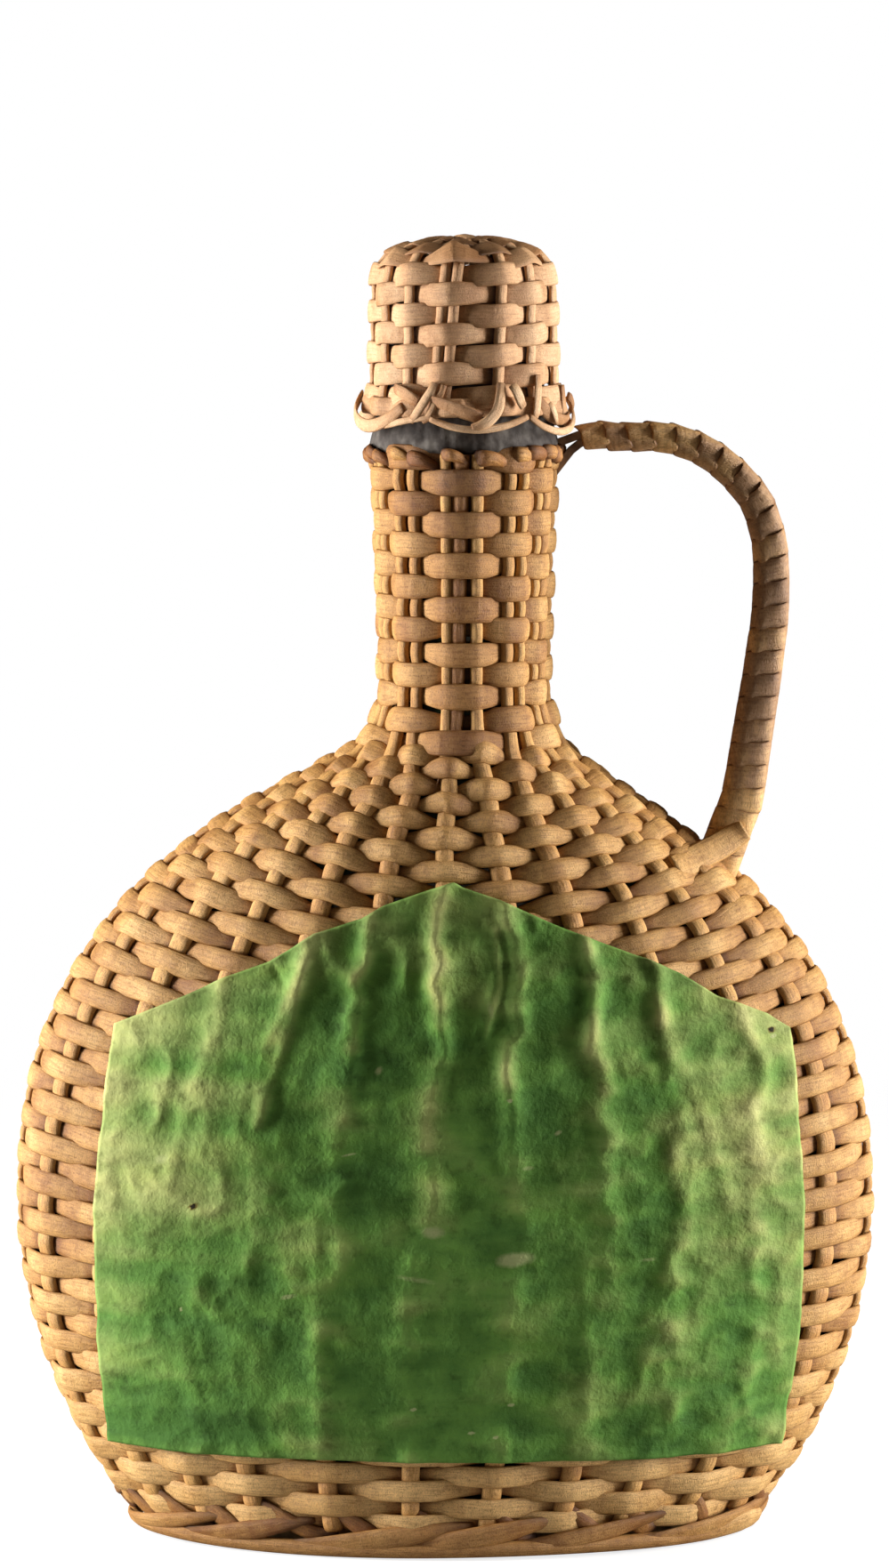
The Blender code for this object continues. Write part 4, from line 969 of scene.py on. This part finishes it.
skein_half = 0.00268 * (1 + 0.02 * np.sin(3.7 * turned))
tone = 0.42 + 0.20 * np.sin(1.7 * np.floor(turned)) * np.cos(2.9 * np.floor(turned))
tone = tone + 0.35 * ease(0.45, 0.1, handle_along) + 0.50 * ease(0.76, 0.92, handle_along)
skein_willow = willow_finish(
    "skein_willow", (0.30, 0.165, 0.080), (0.50, 0.295, 0.150), (0.86, 0.54, 0.22), (0.20, 0.10, 0.05), 0.8)
# Painted shade along the skein's edges, where each turn laps the next.
skein = wicker_piece(
    "bound_skein", points[None], unit(normals)[None], skein_half, half_thick=0.00026, crown=0.0,
    tone=tone[None, :, None], dirt_and_shade=0.05 + 0.85 * at_edges(10, 8), finish=skein_willow, corners=10,
    closed=False, map_width=0.5)
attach(skein, "flask")
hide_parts("handle_binding")


# The strap: the weaver that crosses the front of the handle's foot and holds it down. Its end is torn and
# stands up on the right.
strap_x = np.array([46.5, 50.0, 53.5, 56.5, 59.0, 61.0]) / 1000
strap_y = np.array([-14.0, -10.5, -8.0, -6.2, -5.2, -5.0]) / 1000
strap_z = np.array([138.6, 139.8, 141.2, 142.6, 144.0, 145.2]) / 1000
strap_knots = np.linspace(0, 1, 6)
strap_places = np.linspace(0, 1, 30)
points = np.stack([
    smooth_curve(strap_knots, part, strap_places) for part in (strap_x, strap_y, strap_z)], axis=-1)
normals = np.stack([0.1 + 0.5 * strap_places**3, -1 + 0 * strap_places, 0.3 + 0 * strap_places], axis=-1)
strap_half = 0.0029 * (1 - 0.25 * strap_places**4)
strap = wicker_piece(
    "foot_strap", points[None], unit(normals)[None], strap_half, half_thick=0.00045, crown=0.0003, tone=0.7,
    dirt_and_shade=0.15, finish=body_willow, corners=10, closed=False, map_width=0.6)
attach(strap, "flask")
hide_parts("handle_foot_strap")


# The cap's ribs: twelve flat rods of fresher willow that stand up the cap's wall and bend over its crown
# to the middle. The one in front is split in two.
cap_radii = np.array([20.6, 19.9, 19.7, 19.6, 19.5, 19.4, 18.8, 17.4, 15.6, 12.4, 8.0, 4.0, 0.8]) / 1000
cap_heights = np.array([
    231.0, 236.0, 240.0, 245.0, 250.0, 254.0, 258.2, 261.1, 262.6, 264.0, 265.0, 265.4, 265.5]) / 1000
cap_knots = np.append(0, np.cumsum(np.hypot(np.diff(cap_radii), np.diff(cap_heights))))
cap_length = cap_knots[-1]


def on_cap(run, turn, depth):
    """Points a depth under the cap's surface and their normals. The profile (radius, height) is a smooth
    curve over the length run up it, carried round the neck's axis."""
    run, turn, depth = np.broadcast_arrays(run, turn, depth)
    radius, height = smooth_curve(cap_knots, cap_radii, run), smooth_curve(cap_knots, cap_heights, run)
    rise = curve_step(cap_knots, cap_heights, run, 0.0003)
    draw = curve_step(cap_knots, cap_radii, run, 0.0003)
    steep = np.hypot(rise, draw)
    normal = np.stack([rise / steep * np.sin(turn), -rise / steep * np.cos(turn), -draw / steep], axis=-1)
    return round_neck(radius, turn, height) - depth[..., None] * normal, normal


rib_turns = np.radians([-9.5, 23.9, 46.9, 76.6, 108.5, 140.5, 172.4, 204.3, 236.3, 268.2, 300.1, 322.9])
rib_lean = np.array([0.23, 0.13, 0.05, 0.03, 0, 0, 0, 0, 0, 0, 0.02, 0.03])
rib_count = len(rib_turns)
rib_places = np.linspace(0.0, cap_length - 0.0012, 110)
rib_radius = np.maximum(smooth_curve(cap_knots, cap_radii, rib_places), 0.004)
rib_taper = np.clip(rib_radius / 0.010, 0.35, 1)
cap_willow = willow_finish(
    "cap_willow", (0.50, 0.26, 0.110), (0.78, 0.48, 0.255), (0.90, 0.62, 0.37), (0.42, 0.20, 0.08), 0.7)
for number in range(rib_count):
    apart = np.array([-0.00126, 0.00126] if number == 0 else [0.0])[:, None]
    half_width = 0.00112 if number == 0 else 0.00122
    turn = rib_turns[number] + rib_lean[number] * (rib_places / cap_length - 0.5)
    rib_depth = 0.0013 + 0.0001 * np.sin(1500 * rib_places)
    points, normals = on_cap(rib_places, turn + apart / rib_radius, rib_depth)
    rib = wicker_piece(
        f"cap_rod_{number + 1:02d}", points, normals, half_width * rib_taper, half_thick=0.00055,
        crown=0.0001, tone=rng.uniform(0.35, 0.75), dirt_and_shade=0.22, finish=cap_willow, corners=8, closed=False,
        map_width=0.5, start=1.7 * number)
    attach(rib, "cap")
    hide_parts(f"cap_rib_{number + 1:02d}")


# The cap's weave: broad flat weavers of the same pale willow, over one rib and under the next, up the wall
# and on over the crown, where they get shorter and twist.
cap_row_pitch = 0.00405
cap_first_row = 0.0024
cap_samples = 384
cap_half_thick = 0.00036
first_crown_row, row_end = 6, 11
peaked_row, peak_half_reach = 7, 0.85


def weave_cap(rows):
    """Paths and marks of some of the cap's rows, as for the body with the ribs in place of stakes. The
    width falls off close to the ribs, late at a bit's left end and early at its right end, so that each
    visible bit has rounded ends. Over the front rib, the bit of the peaked row lies further out and its
    width falls off in a straight line on both sides, like a roof. The front has painted shade."""
    rows = np.asarray(rows)[:, None]
    turn = np.repeat(2 * np.pi * np.arange(cap_samples)[None, :] / cap_samples, len(rows), axis=0)
    run = cap_first_row + cap_row_pitch * rows + 0 * turn
    leant = rib_turns + rib_lean * (run[:, :1] / cap_length - 0.5)
    wrapped = np.concatenate([leant[:, -2:] - 2 * np.pi, leant, leant[:, :2] + 2 * np.pi], axis=1)
    number = np.array([np.interp(turn[0], places, np.arange(-2, rib_count + 2)) for places in wrapped])
    on_crown = ease(6.5, 8.0, rows)
    run = run + smooth_random(rib_count, number, 0.00030) + 0.00022 * np.sin(np.pi * (number + rows + 1))
    from_front = np.abs((number + rib_count / 2) % rib_count - rib_count / 2)
    peak = np.clip(1 - from_front / peak_half_reach, 0, 1) * (rows == peaked_row)
    wave = zigzag(number + rows + 1)
    bend = 0.00112 + smooth_random(rib_count, number, 0.00012)
    depth = 0.00146 - bend * wave * (1 - 0.35 * on_crown) - 0.0007 * peak
    points, normals = on_cap(run + 0.0007 * peak, turn, depth)
    right_end = (np.floor(number) + rows + 1) % 2 == 0
    fall_from = np.where(right_end, crossing_random(rib_count, number, 0.6, 0.95),
                         crossing_random(rib_count, number, -0.4, -0.1))
    broad = 0.88 + 0.26 * ease(-0.95, fall_from, wave) + smooth_random(rib_count, number, 0.05)
    broad = broad + 0.20 * on_crown
    broad = broad + (0.45 + 1.10 * peak - broad) * (peak > 0)
    crown = 0.00006 * np.clip(wave, 0, 1) + 0.00003
    tone = 0.5 + smooth_random(2 * rib_count, 2 * number, 0.25)
    # Painted shade on the front, in the recesses under the ribs and in the seams at the edges; the crown is
    # darker too.
    front_shade = np.clip(np.cos(turn), 0, 1) ** 3
    dirt_and_shade = 0.02 + 0.7 * ease(-0.45, -0.95, wave) + 0.38 * on_crown + 0.34 * front_shade
    dirt_and_shade = dirt_and_shade[..., None] + 0.15 * at_edges(12, 6)
    return points, normals, cap_row_pitch / 2 * broad, cap_half_thick, crown, tone[..., None], dirt_and_shade


for name, node, rows in (
    ("cap_weavers", "cap_wall", range(0, first_crown_row)),
    ("crown_weavers", "cap_crown", range(first_crown_row, row_end)),
):
    weavers = wicker_piece(name, *weave_cap(rows), cap_willow, corners=12, closed=True, map_width=0.8)
    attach(weavers, "cap")
    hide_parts(node)


# The cap's knot: three short strips that cross over the middle of the crown and hold the ribs' ends down.
knot_places = np.linspace(-1, 1, 24)
knot_turn = np.radians([15, 75, 135])[:, None]
knot_reach = 0.0062 * knot_places
knot_height = 0.2649 - 0.0006 * knot_places**2 - 0.0004 * np.arange(3)[:, None]
points = round_neck(knot_reach, knot_turn, knot_height)
knot = wicker_piece(
    "crown_knot", points, np.broadcast_to(np.array([0.0, 0.0, 1.0]), points.shape), half_width=0.0014,
    half_thick=0.0004, crown=0.0001, tone=0.5, dirt_and_shade=0.2, finish=cap_willow, corners=8, closed=False,
    map_width=0.5)
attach(knot, "cap")
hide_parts("cap_knot")


# The cap's hem: the lower ends of the ribs, each bent round to the right in a loop and tucked in behind
# the next rib, so that the edge of the cap is a row of scallops. Behind them lies one more weaver.
hem_places = np.linspace(0, 1, 36)
hem_knots = np.linspace(0, 1, 6)
# Each strip: turns in degrees, heights in millimetres, radii in millimetres, half width in millimetres,
# how far its face looks down, and its tone.
hem_strips = (
    ((-19, -8, 2, 12, 24, 37), (228.9, 227.5, 226.9, 226.9, 227.7, 229.2),
     (21.0, 21.3, 21.4, 21.4, 21.2, 20.8), 0.75, -0.2, 0.75),
    ((-19, -14, -8, -2, 4, 9), (232.4, 231.8, 231.1, 230.4, 229.7, 229.0),
     (20.4, 20.7, 20.9, 21.0, 21.0, 20.8), 1.6, 0.5, 0.2),
    ((21, 20, 18, 14, 9, 4), (236.0, 233.4, 230.9, 229.0, 227.7, 227.0),
     (20.2, 20.8, 21.4, 21.7, 21.7, 21.4), 1.15, 0.0, 0.7),
    ((-17, -19, -22, -25, -28, -31), (236.0, 234.4, 232.6, 230.9, 229.4, 228.4),
     (20.2, 20.6, 21.0, 21.2, 21.2, 21.0), 0.95, -0.1, 0.75),
    ((-12, -14, -17, -19, -21, -24), (235.6, 233.8, 232.0, 230.4, 229.2, 228.4),
     (20.0, 20.2, 20.5, 20.7, 20.8, 20.7), 0.8, 0.0, 0.4),
    ((-52, -45, -38, -31, -25, -18), (227.2, 227.6, 228.2, 228.7, 229.0, 229.2),
     (21.2, 21.2, 21.2, 21.1, 21.0, 20.8), 0.7, -0.2, 0.8),
    ((-43, -40, -36, -33, -30, -27), (234.8, 234.4, 233.9, 233.4, 232.8, 232.2),
     (20.3, 20.6, 20.8, 20.9, 20.8, 20.5), 1.4, 0.3, 0.25),
    ((-98, -88, -76, -62, -48, -36), (233.2, 230.6, 228.3, 227.2, 228.3, 231.2),
     (20.8, 21.9, 22.2, 21.9, 21.5, 20.8), 1.35, 0.0, 0.65),
    ((38, 47, 60, 76, 90, 101), (229.3, 227.3, 226.1, 226.8, 229.2, 232.2),
     (20.9, 21.5, 22.0, 22.1, 22.0, 21.2), 0.8, -0.2, 0.75),
    ((44, 48, 53, 60, 70, 80), (233.2, 231.2, 229.6, 228.6, 228.2, 229.0),
     (20.3, 20.8, 21.1, 21.3, 21.3, 21.0), 1.3, 0.6, 0.15),
    ((46, 46, 45, 44, 43, 42), (237.5, 235.6, 233.8, 232.0, 230.2, 228.9),
     (20.2, 20.4, 20.7, 20.9, 21.0, 20.8), 1.0, 0.0, 0.7),
    ((27, 28, 29, 30, 31, 33), (235.6, 234.9, 234.1, 233.2, 232.3, 231.2),
     (20.8, 21.3, 21.6, 21.7, 21.7, 21.5), 1.15, -0.3, 1.1),
    ((53, 54, 55, 56, 57, 59), (231.8, 231.1, 230.3, 229.5, 228.7, 227.8),
     (21.1, 21.5, 21.7, 21.8, 21.8, 21.6), 0.9, -0.3, 1.1),
    ((84, 87, 89, 90, 92, 95), (233.0, 232.4, 231.6, 230.9, 230.2, 229.6),
     (21.0, 21.5, 21.8, 21.9, 21.7, 21.3), 1.0, 0.2, 0.1),
)


def hem_curve(column):
    """All strips' values in one column of the table, each a smooth curve through its six entries."""
    values = np.array([strip[column] for strip in hem_strips], float)
    return np.array([smooth_curve(hem_knots, row, hem_places) for row in values])


back_turn = rib_turns[3:9, None] + (rib_turns[4:10] - rib_turns[3:9])[:, None] * (
    1.12 * ease(0.12, 1.0, hem_places) - 0.05 * np.sin(np.pi * hem_places))
back_fall = np.sin(np.pi * np.clip(hem_places / 0.5, 0, 1) / 2) - 0.35 * ease(0.55, 1.0, hem_places)
back_height = 0.2352 - (0.0080 + 0.0007 * rng.uniform(-1, 1, (6, 1))) * back_fall
back_radius = 0.0202 + (0.0013 + 0.0006 * rng.uniform(-1, 1, (6, 1))) * np.sin(
    np.pi * np.clip(hem_places * 1.15, 0, 1)) - 0.0022 * ease(0.7, 1.0, hem_places)
hem_turn = np.concatenate([np.radians(hem_curve(0)), back_turn])
hem_height = np.concatenate([hem_curve(1) / 1000, back_height])
hem_radius = np.concatenate([hem_curve(2) / 1000, back_radius])
points = round_neck(hem_radius, hem_turn, hem_height)
looks_down = np.concatenate([[strip[4] for strip in hem_strips], np.full(6, 0.3)])[:, None]
normals = np.stack([np.sin(hem_turn), -np.cos(hem_turn), -looks_down + 0 * hem_turn], axis=-1)
hem_half = np.concatenate([[strip[3] / 1000 for strip in hem_strips], rng.uniform(0.0012, 0.0017, 6)])
hem_half = hem_half[:, None] * (0.78 + 0.22 * np.sin(np.pi * hem_places) ** 0.5)
tone = np.concatenate([[strip[5] for strip in hem_strips], rng.uniform(0.35, 0.8, 6)]).reshape(-1, 1, 1)
# Painted shade at the loops' tucked ends and along their edges.
dirt_and_shade = (0.12 + 0.45 * at_ends(hem_places, 6))[:, None] + 0.12 * at_edges(10, 6)
hem_loops = wicker_piece(
    "hem_loops", points, unit(normals), hem_half, half_thick=0.00032, crown=0.00012, tone=tone, dirt_and_shade=dirt_and_shade,
    finish=cap_willow, corners=10, closed=False, map_width=0.5)

ring_turn = (2 * np.pi * np.arange(cap_samples) / cap_samples)[None, :]
ring_number = np.interp(ring_turn, np.append(rib_turns, rib_turns[0] + 2 * np.pi), np.arange(rib_count + 1))
ring_radius = 0.0198 + 0.0006 * np.cos(2 * np.pi * ring_number)
points = round_neck(ring_radius, ring_turn, 0.2311 + 0.0002 * np.sin(3 * ring_turn))
normals = np.stack([np.sin(ring_turn), -np.cos(ring_turn), 0.1 + 0 * ring_turn], axis=-1)
hem_weaver = wicker_piece(
    "hem_weaver", points, normals, half_width=0.0019, half_thick=0.0004, crown=0.0001, tone=0.45, dirt_and_shade=0.3,
    finish=cap_willow, corners=10, closed=True, map_width=0.6)
for piece in (hem_loops, hem_weaver):
    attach(piece, "cap")
    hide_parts("cap_hem")


# The studio: a pale floor under a white surround, a large soft lamp on each side and a weak one in front.
def lay_lamp(name, place, turn, size, power, colour=(1.0, 1.0, 1.0)):
    """An oblong area lamp."""
    lamp = bpy.data.lights.new(name, "AREA")
    lamp.shape = "RECTANGLE"
    lamp.size, lamp.size_y = size
    lamp.energy = power
    lamp.color = colour
    holder = bpy.data.objects.new(name, lamp)
    holder.location = place
    holder.rotation_euler = np.radians(turn)
    bpy.context.scene.collection.objects.link(holder)


lay_lamp("left_lamp", (-0.95, -0.05, 0.22), (86, 0, -87), (0.24, 0.7), 24.0)
lay_lamp("right_lamp", (0.95, -0.05, 0.22), (86, 0, 87), (0.24, 0.7), 20.0)
lay_lamp("front_lamp", (0.0, -1.6, 0.10), (92, 0, 0), (1.2, 0.8), 0.80, (1.0, 0.84, 0.66))

floor_mesh = bpy.data.meshes.new("floor")
floor_mesh.from_pydata([(-6, -4, 0), (6, -4, 0), (6, 8, 0), (-6, 8, 0)], [], [(0, 1, 2, 3)])
pale_floor = new_finish("pale_floor", 0.9, Specular_IOR_Level=0.0, Base_Color=(0.4, 0.4, 0.4, 1),
                        Emission_Color=(1, 1, 1, 1))
seen = add_node(pale_floor, "LightPath", {}).outputs["Is Camera Ray"]
link(pale_floor, work_out(pale_floor, "MULTIPLY", seen, 0.78), "Emission Strength")
floor_reach = add_node(pale_floor, "VectorMath", {0: object_place(pale_floor)}, operation="LENGTH")
link(pale_floor, add_node(pale_floor, "MapRange", {
    "Value": floor_reach.outputs["Value"], "From Min": 0.16, "From Max": 0.55, "To Min": 1.0, "To Max": 0.0},
    interpolation_type="SMOOTHSTEP").outputs["Result"], "Alpha")
floor_mesh.materials.append(pale_floor)
floor = bpy.data.objects.new("floor", floor_mesh)
bpy.context.scene.collection.objects.link(floor)

surround = bpy.data.worlds.new("surround")
bpy.context.scene.world = surround
surround.use_nodes = True
air = surround.node_tree
air.nodes["Background"].inputs["Color"].default_value = (1, 0.84, 0.66, 1)
air.nodes["Background"].inputs["Strength"].default_value = 0.040
seen_white = air.nodes.new("ShaderNodeBackground")
seen_white.inputs["Color"].default_value = (1, 1, 1, 1)
ray = air.nodes.new("ShaderNodeLightPath")
choice = air.nodes.new("ShaderNodeMixShader")
air.links.new(ray.outputs["Is Camera Ray"], choice.inputs["Fac"])
air.links.new(air.nodes["Background"].outputs[0], choice.inputs[1])
air.links.new(seen_white.outputs[0], choice.inputs[2])
air.links.new(choice.outputs[0], air.nodes["World Output"].inputs["Surface"])

camera = bpy.data.cameras.new("camera")
camera.lens = 107.8
camera.sensor_width = 36
camera_holder = bpy.data.objects.new("camera", camera)
camera_holder.location = (0, -0.95, 0.2626)
camera_holder.rotation_euler = (np.radians(83.48), 0, 0)
bpy.context.scene.collection.objects.link(camera_holder)
bpy.context.scene.camera = camera_holder
bpy.context.scene.view_settings.view_transform = "Standard"
